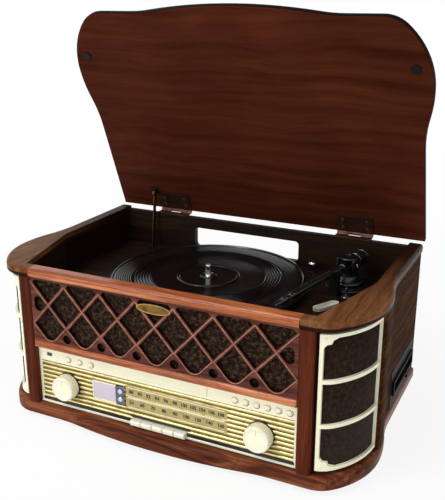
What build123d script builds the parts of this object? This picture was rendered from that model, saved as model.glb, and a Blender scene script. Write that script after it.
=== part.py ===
"""Stereo music centre in a wooden cabinet: a record deck under a hinged lid, a radio with a CD tray
behind a fretwork front, a speaker behind each curved corner and a cassette deck in the right side.

Millimetres. +X is to the right seen from the front, +Y to the back, +Z up. The origin is on the floor,
in the middle of the box that holds the whole centre with its lid held open.
"""

import os
from math import atan, cos, hypot, radians, sin, tan

from build123d import *

os.makedirs("parts", exist_ok=True)

# ---------------------------------------------------------------- driving dimensions
front = -163.63  # front face of the fretwork
body_depth = 321.3  # from that face to the back of the rear panel

# plan of plinth, lid and caps: flat front, round corner, wide shoulder, slight neck, straight sides
shoulder_half_width = 264.1
corner_radius = 41.0
shoulder_radius = 111.6
corner_turn = 45
neck_radius = 179.5
neck_turn = 15
bow_half_width = 155.0
bow_depth = 11.8
bow_blend = 0.2  # share of the bow that curves the other way, into the flat front

# heights
foot_height = 6.0
foot_radius = 12.0
foot_margin = 45.0  # from the fretwork's face and the cabinet's back to the feet's centres
plinth_thickness = 19.5
radio_height = 83.9
mid_rail_height = 10.6
fretwork_height = 88.2
cap_thickness = 12.6
rear_panel_drop = 3.8
lid_thickness = 11.0
lid_gap = 2.5
deck_depth_below_cap = 45.2
deck_thickness = 8.0

# cabinet woodwork
plinth_overhang = 2.3  # the plinth's flat front edge stands this far before the fretwork
plinth_rear_overhang = 9.0
plinth_round = 6.5
plinth_under_round = 3.9
corner_width = 78.1  # from the fretwork's edge to the widest point of the plan
post_width = 18.0
post_depth = 15.3
post_round = 4.0
rail_proud = 3.3
bead_round = 4.6
well_front = 13.0
side_wall = 31.1  # from the well to the widest point of the plan
baffle_step = 15.0  # the baffles start this far outside the fretwork
baffle_depth = 128.0
baffle_thickness = 9.0
side_inset = 1.5
side_front = 85.6
rear_panel_thickness = 9.7
window_centre_x = -19.5
window_width = 176.7
window_height = 31.6
window_drop = 15.7
window_round = 6.0
seam = 0.3  # gap round a piece that drops between its neighbours

# fretwork
lattice_thickness = 5.0
lattice_cells = 7
lattice_bar = 4.6
node_rise = 52.7  # from the mid rail to the upper crossings
crossing_step = 29.2  # height between one row of crossings and the next
ring_rise = 9.0
ring_hole_radius = 6.2
cell_foot = 3.2
edge_cell_round = 6.5
top_strip = 2.2
cloth_thickness = 3.0
badge_width = 48.0
badge_height = 13.0
badge_thickness = 1.2
badge_rise = 76.7

# radio front
fascia_recess = 6.0
fascia_thickness = 4.0
fascia_edge = 4.3
cream_strip = 20.6
lip_height = 5.5
shadow_gap = 2.0
rib_count = 9
rib_radius = 2.3
rib_plate = 2.0
knob_margin = 46.5  # from the fretwork's edge to a knob's axis
knob_rise = 33.5
knob_radius = 16.75
knob_length = 15.0
knob_round = 2.0
knob_shaft_radius = 3.0
knob_shaft_length = 12.0
running_fit = 0.05
scale_margin = 44.6  # from the tuning knob's axis to the scale
scale_low = 20.5
scale_high = 54.9
scale_thickness = 3.0
display_margin = 40.0  # from the volume knob's axis to the display
lcd_width = 35.3
button_strip_width = 13.0
display_low = 25.1
display_high = 50.3
display_depth = 15.0
display_gap = 1.0
display_button_rise = 5.6
display_button_radius = 3.4
button_radius = 3.4
button_length = 9.0
button_flange = 1.2
button_flange_reach = 1.0
button_round = 1.0
button_fit = 0.2
button_rise = 72.0
right_button_count = 6
right_button_pitch = 14.0
right_button_margin = 11.0  # from the fretwork's edge to the outermost button
left_button_count = 3
left_button_pitch = 18.0
left_button_margin = 48.0
key_count = 5
key_pitch = 16.0
key_height = 7.2
key_rise = 2.9
key_gap = 0.6
key_proud = 3.0
key_length = 17.0
key_slot_high = 13.2

# CD player
tray_half_width = 68.2
tray_front_height = 13.0
tray_front_thickness = 3.5
tray_rise = 68.0
tray_fit = 0.35
tray_plate_half_width = 64.0
tray_plate_thickness = 6.0
tray_plate_length = 140.0
disc_recess_radius = 60.6
disc_recess_depth = 2.4
drive_wall = 2.5
drive_depth = 160.0
drive_low = 56.0
drive_high = 90.0
cd_travel = 128.0

# record deck
spindle_x = -13.0
platter_front_gap = 32.8  # from the fretwork's face
platter_rear_gap = 2.8  # to the rear panel
spindle_radius = 3.57
spindle_height = 16.0
spindle_round = 2.1
platter_rise = 16.7
platter_skirt = 9.0
platter_web = 3.0
platter_wall = 4.0
drive_ring_radius = 60.0
drive_ring_wall = 3.0
bearing_radius = 4.0
bearing_length = 14.0
mat_thickness = 3.0
mat_hole_radius = 8.0
mat_margin = 1.0
mat_groove_insets = (12.0, 30.0, 50.0, 70.0, 91.0, 116.0)  # from the platter's rim
groove_width = 3.0
groove_depth = 0.8
motor_left = 76.5  # from the spindle
motor_forward = 63.8
motor_radius = 17.0
motor_height = 26.0
pulley_radius = 5.0
pulley_height = 5.2
motor_shaft_radius = 1.0
motor_shaft_clear = 1.0  # round the shaft in the deck board
belt_thickness = 0.9
belt_height = 4.0
belt_fit = 0.1

# tonearm
arm_side_gap = 69.3  # from the well's side to the arm's pivot
arm_rear_gap = 55.8
arm_rest_angle = 11.0  # from straight forward, in towards the platter
arm_rise = 35.0
arm_length = 212.0
arm_radius = 3.6
arm_base_radius = 30.0
arm_base_height = 5.0
arm_base_round = 2.0
arm_post_radius = 9.0
gimbal_radius = 11.0
gimbal_pin_radius = 2.5
gimbal_pin_length = 16.0
gimbal_ear = 3.0
gimbal_gap = 7.2
pivot_radius = 1.5
weight_radius = 11.0
weight_length = 24.0
weight_start = 17.0
weight_round = 1.5
shell_length = 40.0
shell_width = 17.0
rest_reach = 38.0

lever_side_gap = 73.0
lever_back = 2.2  # behind the spindle
lever_length = 42.0
lever_width = 13.0
lever_thickness = 4.0
lever_angle = 62.0
lever_pin_radius = 2.0

# corner grilles and speakers
grille_inset = 9.5
trim_thickness = 3.5
trim_low = 5.0
trim_high = 4.2
trim_gap = 4.3  # from the post to the trim
trim_border = 4.2
trim_rear_border = 2.6
trim_bar = 4.6
gusset_size = 15.0
gusset_outline = ((1, 0), (0.62, 0.22), (0.55, 0.5), (0.25, 0.55), (0, 0.85))  # shares of its size
grille_cloth_thickness = 2.0
speaker_y = 54.0
speaker_rise = 62.0
speaker_radius = 35.0
speaker_hole_radius = 31.0
speaker_flange = 3.0
magnet_radius = 22.0
speaker_depth = 38.0

# cassette deck
cassette_width = 125.3
cassette_height = 55.8
cassette_depth = 86.0
cassette_proud = 2.5
slot_length = 105.0
slot_height = 15.0
slot_rise = 21.0
slot_depth = 70.0
slot_lip = 3.0
cassette_button_length = 14.0
cassette_button_height = 7.0
cassette_button_rise = 6.5

# electronics
board_width = 190.0
board_depth = 95.0
board_thickness = 1.6
board_rise = 8.0
supply_block = (58.0, 46.0, 42.0)
socket_radius = 5.0
socket_pitch = 16.0
socket_count = 4
inlet_width = 21.0
inlet_height = 12.0
socket_clear = 1.0  # between the board and its sockets
socket_proud = 1.0
socket_body = 6.0  # how far a socket reaches in from the rear panel
socket_foot_width = 9.0
standoff_radius = 3.0
standoff_inset = 6.0

# lid
lid_open_angle = 68.0
hinge_behind = 8.0  # the hinge axis stands this far behind the cabinet
hinge_z = 220.5
lid_rear_reach = 0.85  # the closed lid reaches this far behind the hinge axis
lid_front_overhang = 4.45  # the closed lid's flat front edge stands this far before the fretwork
hinge_offset = 150.5
hinge_width = 54.0
knuckle_radius = 2.6
hinge_pin_radius = 1.2
leaf_thickness = 1.6
lid_leaf_length = 27.0
bumper_side_gap = 22.1  # from the widest point of the plan
bumper_y = 62.0
bumper_radius = 6.0
stay_side_gap = 55.0  # from the well's side
stay_width = 7.0
stay_thickness = 1.6
stay_length = 108.0
stay_pivot_back = 36.0
stay_pivot_drop = 9.0
stay_eye_radius = 5.0
stay_pin_radius = 1.6
stay_lean = 6.8  # how far the stay leans from upright with the lid open, in degrees
stay_slot_length = 22.0
stay_slot_width = 3.4

# small sizes
foot_chamfer = 1.0
side_edge_round = 3.0
cap_round = 4.5
cap_under_round = 2.7
lid_round = 3.2
lid_under_round = 1.75
vent_count = 9
vent_pitch = 12.0
vent_length = 34.0
vent_width = 4.0
vent_rise = 80.0
button_proud = 1.6
key_round = 2.4
key_stop = 1.5
tray_proud = 1.0
tray_margin = 6.0
tray_round = 1.0
tray_hub_radius = 16.0
cone_radius = 27.0
cone_depth = 12.0
dust_cap_radius = 9.0
hub_radius = 12.0
gimbal_drop = 9.0
gimbal_plate = 2.4
gimbal_ear_width = 8.0
rest_width = 8.0
rest_hook = 2.5
shell_tip = 8.0
shell_thickness = 2.2
stylus_clear = 1.8
cartridge_length = 16.0
cartridge_width = 12.0
cassette_face_inset = 13.1  # from the widest point of the plan
cassette_button_depth = 8.0
cassette_button_round = 0.8
cassette_button_travel = 3.0
board_centre_x = -20.0
leaf_margin = 1.0  # from the rear panel's front edge to the cabinet leaf
leaf_bend = 1.0
knuckle_cut = 5.2  # half the size of the notch that the lid leaf's knuckle turns in
bracket_foot = 12.0

# ---------------------------------------------------------------- levels worked out from them
plinth_top = foot_height + plinth_thickness
mid_rail_low = plinth_top + radio_height
fretwork_low = mid_rail_low + mid_rail_height
cap_low = fretwork_low + fretwork_height
cap_top = cap_low + cap_thickness
rear_panel_top = cap_top - rear_panel_drop
deck_top = cap_low - deck_depth_below_cap
deck_low = deck_top - deck_thickness
opening_half_width = shoulder_half_width - corner_width
well_half_width = shoulder_half_width - side_wall
baffle_front_half_width = opening_half_width + baffle_step
knob_offset = opening_half_width - knob_margin
display_left = display_margin - knob_offset
display_split = display_left + lcd_width
strip_right = display_split + button_strip_width
scale_left = strip_right + display_gap
scale_right = knob_offset - scale_margin
right_button_x = [
    opening_half_width - right_button_margin - right_button_pitch * (right_button_count - 1 - i)
    for i in range(right_button_count)
]
left_button_x = [
    left_button_margin - opening_half_width + left_button_pitch * i for i in range(left_button_count)
]
platter_radius = (body_depth - rear_panel_thickness - platter_front_gap - platter_rear_gap) / 2
spindle_y = platter_front_gap + platter_radius
motor_x = spindle_x - motor_left
motor_y = spindle_y - motor_forward
arm_x = well_half_width - arm_side_gap
arm_y = body_depth - rear_panel_thickness - arm_rear_gap
lever_x = well_half_width - lever_side_gap
lever_y = spindle_y + lever_back
cassette_rear = body_depth - rear_panel_thickness - seam
cassette_front = cassette_rear - cassette_width
cassette_face_x = shoulder_half_width - cassette_face_inset
hinge_y = body_depth + hinge_behind
lid_length = hinge_y + lid_rear_reach + lid_front_overhang  # from its rear edge to its flat front edge
bumper_x = shoulder_half_width - bumper_side_gap
stay_x = stay_side_gap - well_half_width
rear = front + body_depth
rear_panel_front = rear - rear_panel_thickness
fascia_front = front + fascia_recess
fascia_back = fascia_front + fascia_thickness
lid_low = cap_top + lid_gap


# ---------------------------------------------------------------- helpers
def on_circle(centre, radius, angle):
    """A point on a circle, the angle in degrees from +X towards +Y."""
    return (centre[0] + radius * cos(radians(angle)), centre[1] + radius * sin(radians(angle)))


def plan_points(inset, flat_front, back):
    """The corner points and arcs of the right half of the plan, moved in by inset."""
    arc_centre_x = shoulder_half_width - shoulder_radius
    step = shoulder_radius - corner_radius
    corner = on_circle((0, 0), step, -corner_turn)
    shoulder_y = flat_front + corner_radius - corner[1]
    shoulder = (arc_centre_x, shoulder_y)
    corner_centre = (arc_centre_x + corner[0], shoulder_y + corner[1])
    waist_centre = (shoulder_half_width - neck_radius, shoulder_y)
    waist = on_circle(waist_centre, neck_radius - inset, neck_turn)
    neck_centre = on_circle(waist_centre, 2 * neck_radius, neck_turn)
    side_x = neck_centre[0] - neck_radius - inset
    return {
        "front": (corner_centre[0], flat_front + inset),
        "corner_mid": on_circle(corner_centre, corner_radius - inset, -(90 + corner_turn) / 2),
        "corner_end": on_circle(corner_centre, corner_radius - inset, -corner_turn),
        "shoulder_mid": on_circle(shoulder, shoulder_radius - inset, -corner_turn / 2),
        "shoulder_end": (shoulder_half_width - inset, shoulder_y),
        "waist_mid": on_circle(waist_centre, neck_radius - inset, neck_turn / 2),
        "waist": waist,
        "neck_mid": on_circle(neck_centre, neck_radius + inset, 180 + neck_turn / 2),
        "neck": (side_x, neck_centre[1]),
        "back": (side_x, back - inset),
    }


def plan_edges(inset, flat_front, back, bow=0.0):
    """Draws the closed plan into the current BuildLine, with an optional bow in the front edge."""
    p = plan_points(inset, flat_front, back)
    if bow:
        flat_y = flat_front + inset
        blend_x = (1 - bow_blend) * bow_half_width
        blend_y = flat_y - bow_blend * bow
        ThreePointArc((-blend_x, blend_y), (0, flat_y - bow), (blend_x, blend_y))
        for side in (1, -1):
            blend_start = (side * bow_half_width, flat_y)
            TangentArc(blend_start, (side * blend_x, blend_y), tangent=(-side, 0))
            Line(blend_start, (side * p["front"][0], p["front"][1]))
    else:
        Line((-p["front"][0], p["front"][1]), p["front"])
    for side in (1, -1):
        for start, middle, end in (
            ("front", "corner_mid", "corner_end"),
            ("corner_end", "shoulder_mid", "shoulder_end"),
            ("shoulder_end", "waist_mid", "waist"),
            ("waist", "neck_mid", "neck"),
        ):
            ThreePointArc(*[(side * p[name][0], p[name][1]) for name in (start, middle, end)])
        Line((side * p["neck"][0], p["neck"][1]), (side * p["back"][0], p["back"][1]))
    Line((-p["back"][0], p["back"][1]), p["back"])


def front_plane(y):
    """A plane seen from the front: its x is +X, its y is +Z, and it extrudes towards the front."""
    return Plane.XZ.offset(-y)


def save(builder, name):
    """Labels a finished piece and writes it to its own file."""
    builder.part.label = name
    export_step(builder.part, f"parts/{name}.step")


# ---------------------------------------------------------------- plinth and feet
with BuildPart() as base_plinth:
    with BuildSketch(Plane.XY.offset(foot_height)):
        with BuildLine():
            plan_edges(0, front - plinth_overhang, rear + plinth_rear_overhang, bow_depth)
        make_face()
    extrude(amount=plinth_thickness)
    fillet(base_plinth.edges().group_by(Axis.Z)[-1], radius=plinth_round)
    fillet(base_plinth.edges().group_by(Axis.Z)[0], radius=plinth_under_round)
save(base_plinth, "base_plinth")

feet_x = 2 * (baffle_front_half_width - foot_margin / 2)
feet_y = body_depth - 2 * foot_margin
with BuildPart() as rubber_feet:
    with BuildSketch():
        with Locations((0, (front + rear) / 2)):
            with GridLocations(feet_x, feet_y, 2, 2):
                Circle(foot_radius)
    extrude(amount=foot_height)
    chamfer(rubber_feet.edges().group_by(Axis.Z)[0], length=foot_chamfer)
save(rubber_feet, "rubber_feet")

# ---------------------------------------------------------------- side and rear panels
side_span = shoulder_half_width - well_half_width
side_middle_y = front + (side_front + body_depth) / 2


def side_panel(side):
    """A side panel, moulded outside to the plan and flat inside."""
    with BuildPart() as panel:
        with BuildSketch(Plane.XY.offset(plinth_top)):
            with BuildLine():
                plan_edges(side_inset, front - plinth_overhang, rear + side_inset)
            make_face()
            with Locations((side * (well_half_width + side_span / 2), side_middle_y)):
                Rectangle(side_span, body_depth - side_front, mode=Mode.INTERSECT)
        extrude(amount=cap_low - plinth_top)
        outer_edges = panel.edges().filter_by(Axis.Z).group_by(Axis.Y)[0].sort_by(Axis.X)
        fillet(outer_edges[-1 if side > 0 else 0], radius=side_edge_round)
        if side > 0:
            with BuildSketch(Plane.YZ.offset(well_half_width - seam)):
                with Locations((front + (cassette_front + cassette_rear) / 2, plinth_top)):
                    Rectangle(cassette_rear - cassette_front, 2 * cassette_height)
            extrude(amount=2 * side_span, mode=Mode.SUBTRACT)
    return panel


left_side_panel = side_panel(-1)
save(left_side_panel, "left_side_panel")
right_side_panel = side_panel(1)
save(right_side_panel, "right_side_panel")

socket_z = plinth_top + board_rise + board_thickness + socket_radius + socket_clear
socket_x = [board_centre_x - board_width / 2 + socket_pitch * (i + 1) for i in range(socket_count)]
inlet_x = board_centre_x + board_width / 2 - inlet_width
with BuildPart() as rear_panel:
    with BuildSketch(front_plane(rear)):
        with Locations((0, (plinth_top + rear_panel_top) / 2)):
            Rectangle(2 * well_half_width, rear_panel_top - plinth_top)
        with Locations((window_centre_x, rear_panel_top - window_drop - window_height / 2)):
            RectangleRounded(window_width, window_height, window_round, mode=Mode.SUBTRACT)
        with Locations(*[(x, socket_z) for x in socket_x]):
            Circle(socket_radius + button_fit, mode=Mode.SUBTRACT)
        with Locations((inlet_x, socket_z)):
            Rectangle(inlet_width + seam, inlet_height + seam, mode=Mode.SUBTRACT)
        with Locations((0, plinth_top + vent_rise)):
            with GridLocations(vent_pitch, 1, vent_count, 1):
                SlotOverall(vent_length, vent_width, rotation=90, mode=Mode.SUBTRACT)
    extrude(amount=rear_panel_thickness)
save(rear_panel, "rear_panel")

# ---------------------------------------------------------------- posts, rails and caps
post_x = opening_half_width + post_width / 2
post_y = front - plinth_overhang + post_depth / 2
with BuildPart() as front_posts:
    with BuildSketch(Plane.XY.offset(plinth_top)):
        with Locations((-post_x, post_y), (post_x, post_y)):
            Rectangle(post_width, post_depth)
    extrude(amount=cap_low - plinth_top)
    fillet(front_posts.edges().filter_by(Axis.Z).group_by(Axis.Y)[0], radius=post_round)
save(front_posts, "front_posts")

with BuildPart() as top_rail:
    with BuildSketch(Plane.YZ):
        with Locations((front + (well_front - rail_proud) / 2, cap_low + cap_thickness / 2)):
            Rectangle(well_front + rail_proud, cap_thickness)
    extrude(amount=opening_half_width, both=True)
    fillet(top_rail.edges().filter_by(Axis.X).group_by(Axis.Y)[0], radius=bead_round)
save(top_rail, "top_rail")

mid_rail_depth = fascia_recess + fascia_thickness + rail_proud
with BuildPart() as mid_rail:
    with BuildSketch(Plane.YZ):
        with Locations((front - rail_proud + mid_rail_depth / 2, mid_rail_low + mid_rail_height / 2)):
            Rectangle(mid_rail_depth, mid_rail_height)
    extrude(amount=opening_half_width, both=True)
    fillet(mid_rail.edges().group_by(Axis.Y)[0], radius=bead_round)
save(mid_rail, "mid_rail")

well_outline = [
    (opening_half_width, front - body_depth),
    (opening_half_width, front + well_front),
    (baffle_front_half_width, front + well_front),
    (well_half_width, front + well_front + baffle_depth),
    (well_half_width, rear + body_depth),
]
with BuildPart() as rim_caps:
    with BuildSketch(Plane.XY.offset(cap_low)):
        with BuildLine():
            plan_edges(0, front - plinth_overhang, rear)
        make_face()
    extrude(amount=cap_thickness)
    rear_edges = rim_caps.edges().group_by(Axis.Y)[-1]
    fillet(rim_caps.edges().group_by(Axis.Z)[-1] - rear_edges, radius=cap_round)
    fillet(rim_caps.edges().group_by(Axis.Z)[0] - rear_edges, radius=cap_under_round)
    with BuildSketch(Plane.XY.offset(cap_low)):
        with BuildLine():
            Polyline(*well_outline, *[(-x, y) for x, y in reversed(well_outline)], close=True)
        make_face()
    extrude(amount=cap_thickness, mode=Mode.SUBTRACT)
save(rim_caps, "rim_caps")

# ---------------------------------------------------------------- fretwork, its cloth and the plate
cell_pitch = 2 * opening_half_width / lattice_cells
upper_z = fretwork_low + node_rise
lower_z = upper_z - crossing_step
top_z = upper_z + crossing_step
bar_slope = 2 * crossing_step / cell_pitch
bar_lean = hypot(1, bar_slope)
bar_half_height = lattice_bar / 2 * bar_lean  # half a bar, measured straight up
bar_half_run = bar_half_height / bar_slope
ring_z = fretwork_low + ring_rise
cell_sine = 1 / bar_lean
cell_low = fretwork_low + cell_foot
cell_corner_z = lower_z - crossing_step + bar_half_height  # where a lower cell's sides would meet
cell_radius = (cell_low - cell_corner_z) * cell_sine / (1 - cell_sine)
ring_x = [-opening_half_width + cell_pitch * (i + 1) for i in range(lattice_cells - 1)]
cell_x = [-opening_half_width + cell_pitch * (i + 0.5) for i in range(lattice_cells)]
half_cell = cell_pitch / 2
top_opening = fretwork_low + fretwork_height - top_strip
top_half_width = half_cell - bar_half_run - (top_opening - top_z) / bar_slope
edge_x = opening_half_width - lattice_bar  # inner edge of the strips beside the posts
edge_half_height = (half_cell - bar_half_run - lattice_bar) * bar_slope
cell_side = half_cell - bar_half_run
tangent_x = cell_radius * bar_slope * cell_sine
tangent_z = cell_low + cell_radius * (1 - cell_sine)
with BuildPart() as lattice_panel:
    with BuildSketch(front_plane(front + lattice_thickness)):
        with Locations((0, fretwork_low + fretwork_height / 2)):
            Rectangle(2 * opening_half_width, fretwork_height)
        with Locations(*[(x, ring_z) for x in ring_x]):
            Circle(ring_hole_radius, mode=Mode.SUBTRACT)
        for x in ring_x:
            with BuildLine():
                Polyline(
                    (x - half_cell + bar_half_run, upper_z),
                    (x, top_z - bar_half_height),
                    (x + half_cell - bar_half_run, upper_z),
                    (x, lower_z + bar_half_height),
                    close=True,
                )
            make_face(mode=Mode.SUBTRACT)
        for x in cell_x:
            with BuildLine():
                Polyline(
                    (x, upper_z + bar_half_height),
                    (x + half_cell - bar_half_run, top_z),
                    (x + top_half_width, top_opening),
                    (x - top_half_width, top_opening),
                    (x - half_cell + bar_half_run, top_z),
                    close=True,
                )
            make_face(mode=Mode.SUBTRACT)
            with BuildLine():
                Polyline(
                    (x + tangent_x, tangent_z),
                    (x + cell_side, lower_z),
                    (x, upper_z - bar_half_height),
                    (x - cell_side, lower_z),
                    (x - tangent_x, tangent_z),
                )
                ThreePointArc((x - tangent_x, tangent_z), (x, cell_low), (x + tangent_x, tangent_z))
            make_face(mode=Mode.SUBTRACT)
    extrude(amount=lattice_thickness)
    with BuildSketch(front_plane(front + lattice_thickness)) as edge_cells:
        for side in (-1, 1):
            with BuildLine():
                Polyline(
                    (side * (edge_x - cell_side + lattice_bar), upper_z),
                    (side * edge_x, upper_z + edge_half_height),
                    (side * edge_x, upper_z - edge_half_height),
                    close=True,
                )
            make_face()
        fillet(edge_cells.vertices().group_by(Axis.X)[0], radius=edge_cell_round)
        fillet(edge_cells.vertices().group_by(Axis.X)[-1], radius=edge_cell_round)
    extrude(amount=lattice_thickness, mode=Mode.SUBTRACT)
save(lattice_panel, "lattice_panel")

cloth_front = front + lattice_thickness + seam
with BuildPart() as lattice_cloth:
    with BuildSketch(front_plane(cloth_front + cloth_thickness)):
        with Locations((0, fretwork_low + fretwork_height / 2)):
            Rectangle(2 * (opening_half_width - seam), fretwork_height - 2 * seam)
    extrude(amount=cloth_thickness)
save(lattice_cloth, "lattice_cloth")

with BuildPart() as ornament_plate:
    with BuildSketch(front_plane(front)):
        with Locations((0, fretwork_low + badge_rise)):
            Ellipse(badge_width / 2, badge_height / 2)
    extrude(amount=badge_thickness)
    fillet(ornament_plate.edges().group_by(Axis.Y)[0], radius=badge_thickness / 2)
save(ornament_plate, "ornament_plate")

# ---------------------------------------------------------------- radio front
reed_low = plinth_top + lip_height
reed_high = mid_rail_low - cream_strip
reed_half_width = opening_half_width - fascia_edge
key_half_width = key_count * key_pitch / 2
key_slot_low = plinth_top + key_rise - seam
key_slot_top = plinth_top + key_slot_high
tray_z = plinth_top + tray_rise + tray_front_height / 2
button_z = plinth_top + button_rise
button_x = left_button_x + right_button_x
with BuildPart() as radio_fascia:
    with BuildSketch(front_plane(fascia_back)):
        with Locations((0, (plinth_top + mid_rail_low) / 2)):
            Rectangle(2 * (opening_half_width - seam), radio_height)
        with Locations((0, (reed_low + reed_high) / 2)):
            Rectangle(2 * reed_half_width, reed_high - reed_low, mode=Mode.SUBTRACT)
        with Locations((0, (key_slot_low + key_slot_top) / 2)):
            Rectangle(2 * (key_half_width + seam), key_slot_top - key_slot_low, mode=Mode.SUBTRACT)
        with Locations((0, tray_z)):
            Rectangle(
                2 * (tray_half_width + tray_fit), tray_front_height + 2 * tray_fit, mode=Mode.SUBTRACT
            )
        with Locations(*[(x, button_z) for x in button_x]):
            Circle(button_radius + button_fit, mode=Mode.SUBTRACT)
    extrude(amount=fascia_thickness)
    with BuildSketch(front_plane(fascia_front + fascia_thickness / 2)):
        with Locations((0, plinth_top)):
            Rectangle(2 * opening_half_width, 2 * shadow_gap)
    extrude(amount=fascia_thickness, mode=Mode.SUBTRACT)
save(radio_fascia, "radio_fascia")

knob_z = plinth_top + knob_rise
scale_x = (scale_left + scale_right) / 2
scale_z = plinth_top + (scale_low + scale_high) / 2
scale_width = scale_right - scale_left
scale_height = scale_high - scale_low
display_x = (display_left + strip_right) / 2
display_z = plinth_top + (display_low + display_high) / 2
display_width = strip_right - display_left
display_height = display_high - display_low
rib_pitch = (reed_high - reed_low - 2 * seam) / rib_count
rib_face = fascia_back - rib_plate
with BuildPart() as reeded_panel:
    with BuildSketch(Plane.YZ):
        with Locations(((fascia_back + rib_face) / 2, (reed_low + reed_high) / 2)):
            Rectangle(rib_plate, reed_high - reed_low - 2 * seam)
        with Locations(
            *[(rib_face, reed_low + seam + rib_pitch * (i + 0.5)) for i in range(rib_count)]
        ):
            Circle(rib_radius)
    extrude(amount=reed_half_width - seam, both=True)
    with BuildSketch(front_plane(fascia_back + rib_radius)):
        with Locations((0, (reed_low + reed_high) / 2)):
            Rectangle(2 * opening_half_width, radio_height)
    extrude(amount=rib_radius, mode=Mode.SUBTRACT)
    with BuildSketch(front_plane(fascia_back)):
        with Locations((-knob_offset, knob_z), (knob_offset, knob_z)):
            Circle(knob_shaft_radius + running_fit)
        with Locations((scale_x, scale_z)):
            Rectangle(scale_width + 2 * seam, scale_height + 2 * seam)
        with Locations((display_x, display_z)):
            Rectangle(display_width + 2 * seam, display_height + 2 * seam)
        with Locations((0, (reed_low + key_slot_top) / 2 - seam)):
            Rectangle(2 * (key_half_width + seam), key_slot_top - reed_low)
    extrude(amount=fascia_thickness + rib_radius, mode=Mode.SUBTRACT)
save(reeded_panel, "reeded_panel")

with BuildPart() as dial_scale:
    with BuildSketch(front_plane(fascia_back)):
        with Locations((scale_x, scale_z)):
            Rectangle(scale_width, scale_height)
    extrude(amount=scale_thickness)
save(dial_scale, "dial_scale")

display_strip_x = (display_split + strip_right) / 2
display_button_z = [display_z + side * display_button_rise for side in (1, -1)]
lcd_x = (display_left + display_split) / 2
with BuildPart() as display_module:
    with BuildSketch(front_plane(fascia_back)):
        with Locations((display_x, display_z)):
            Rectangle(display_width, display_height)
        with Locations(*[(display_strip_x, z) for z in display_button_z]):
            Circle(display_button_radius + button_fit, mode=Mode.SUBTRACT)
    extrude(amount=fascia_thickness)
    with BuildSketch(front_plane(fascia_back + display_depth)):
        with Locations((lcd_x - seam, display_z)):
            Rectangle(lcd_width - 2 * seam, display_height - 2 * seam)
    extrude(amount=display_depth)
save(display_module, "display_module")

for side, name in ((-1, "volume_knob"), (1, "tuning_knob")):
    with BuildPart() as knob:
        with BuildSketch(front_plane(rib_face - rib_radius - seam)):
            with Locations((side * knob_offset, knob_z)):
                Circle(knob_radius)
        extrude(amount=knob_length)
        fillet(knob.edges().group_by(Axis.Y)[0], radius=knob_round)
        with BuildSketch(front_plane(rib_face + knob_shaft_length)):
            with Locations((side * knob_offset, knob_z)):
                Circle(knob_shaft_radius)
        extrude(amount=knob_shaft_length + rib_radius + 2 * seam)
    save(knob, name)


def push_button(x, z, radius):
    """A round button in its hole, with a flange behind the plate that keeps it in."""
    with BuildPart() as button:
        with BuildSketch(front_plane(fascia_back + seam)):
            with Locations((x, z)):
                Circle(radius)
        extrude(amount=fascia_thickness + seam + button_proud)
        fillet(button.edges().group_by(Axis.Y)[0], radius=button_round)
        with BuildSketch(front_plane(fascia_back + seam + button_flange)):
            with Locations((x, z)):
                Circle(radius + button_flange_reach)
        extrude(amount=button_flange)
    return button


for i, x in enumerate(left_button_x):
    save(push_button(x, button_z, button_radius), f"left_button_{i + 1}")
for i, x in enumerate(right_button_x):
    save(push_button(x, button_z, button_radius), f"right_button_{i + 1}")
for z, name in zip(display_button_z, ("display_button_upper", "display_button_lower")):
    save(push_button(display_strip_x, z, display_button_radius), name)

key_low = plinth_top + key_rise
key_back = front - key_proud + key_length
for i in range(key_count):
    key_x = key_pitch * (i - (key_count - 1) / 2)
    with BuildPart() as piano_key:
        with BuildSketch(front_plane(key_back)):
            with Locations((key_x, key_low + key_height / 2)):
                Rectangle(key_pitch - key_gap, key_height)
        extrude(amount=key_length)
        fillet(piano_key.edges().group_by(Axis.Y)[0], radius=key_round)
        with BuildSketch(front_plane(key_back)):
            with Locations((key_x, key_low + key_height / 2)):
                Rectangle(key_pitch - key_gap, key_height + 2 * key_stop)
        extrude(amount=key_back - fascia_back - seam)
    save(piano_key, f"piano_key_{i + 1}")

# ---------------------------------------------------------------- CD tray and its drive
tray_front_face = fascia_front - tray_proud
tray_plate_front = tray_front_face + tray_front_thickness
tray_low = tray_z - tray_plate_thickness / 2
disc_y = tray_plate_front + tray_plate_length - disc_recess_radius - tray_margin
with BuildPart() as cd_tray:
    with BuildSketch(front_plane(tray_plate_front)):
        with Locations((0, tray_z)):
            Rectangle(2 * tray_half_width, tray_front_height)
    extrude(amount=tray_front_thickness)
    fillet(cd_tray.edges().group_by(Axis.Y)[0], radius=tray_round)
    with BuildSketch(Plane.XY.offset(tray_low)):
        with Locations((0, tray_plate_front + tray_plate_length / 2)):
            Rectangle(2 * tray_plate_half_width, tray_plate_length)
    extrude(amount=tray_plate_thickness)
    with BuildSketch(Plane.XY.offset(tray_low + tray_plate_thickness - disc_recess_depth)):
        with Locations((0, disc_y)):
            Circle(disc_recess_radius)
    extrude(amount=disc_recess_depth, mode=Mode.SUBTRACT)
    with BuildSketch(Plane.XY.offset(tray_low)):
        with Locations((0, disc_y)):
            Circle(tray_hub_radius)
        with Locations((0, disc_y + disc_recess_radius / 2)):
            Rectangle(2 * tray_hub_radius, disc_recess_radius)
    extrude(amount=tray_plate_thickness, mode=Mode.SUBTRACT)
save(cd_tray, "cd_tray")

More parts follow.
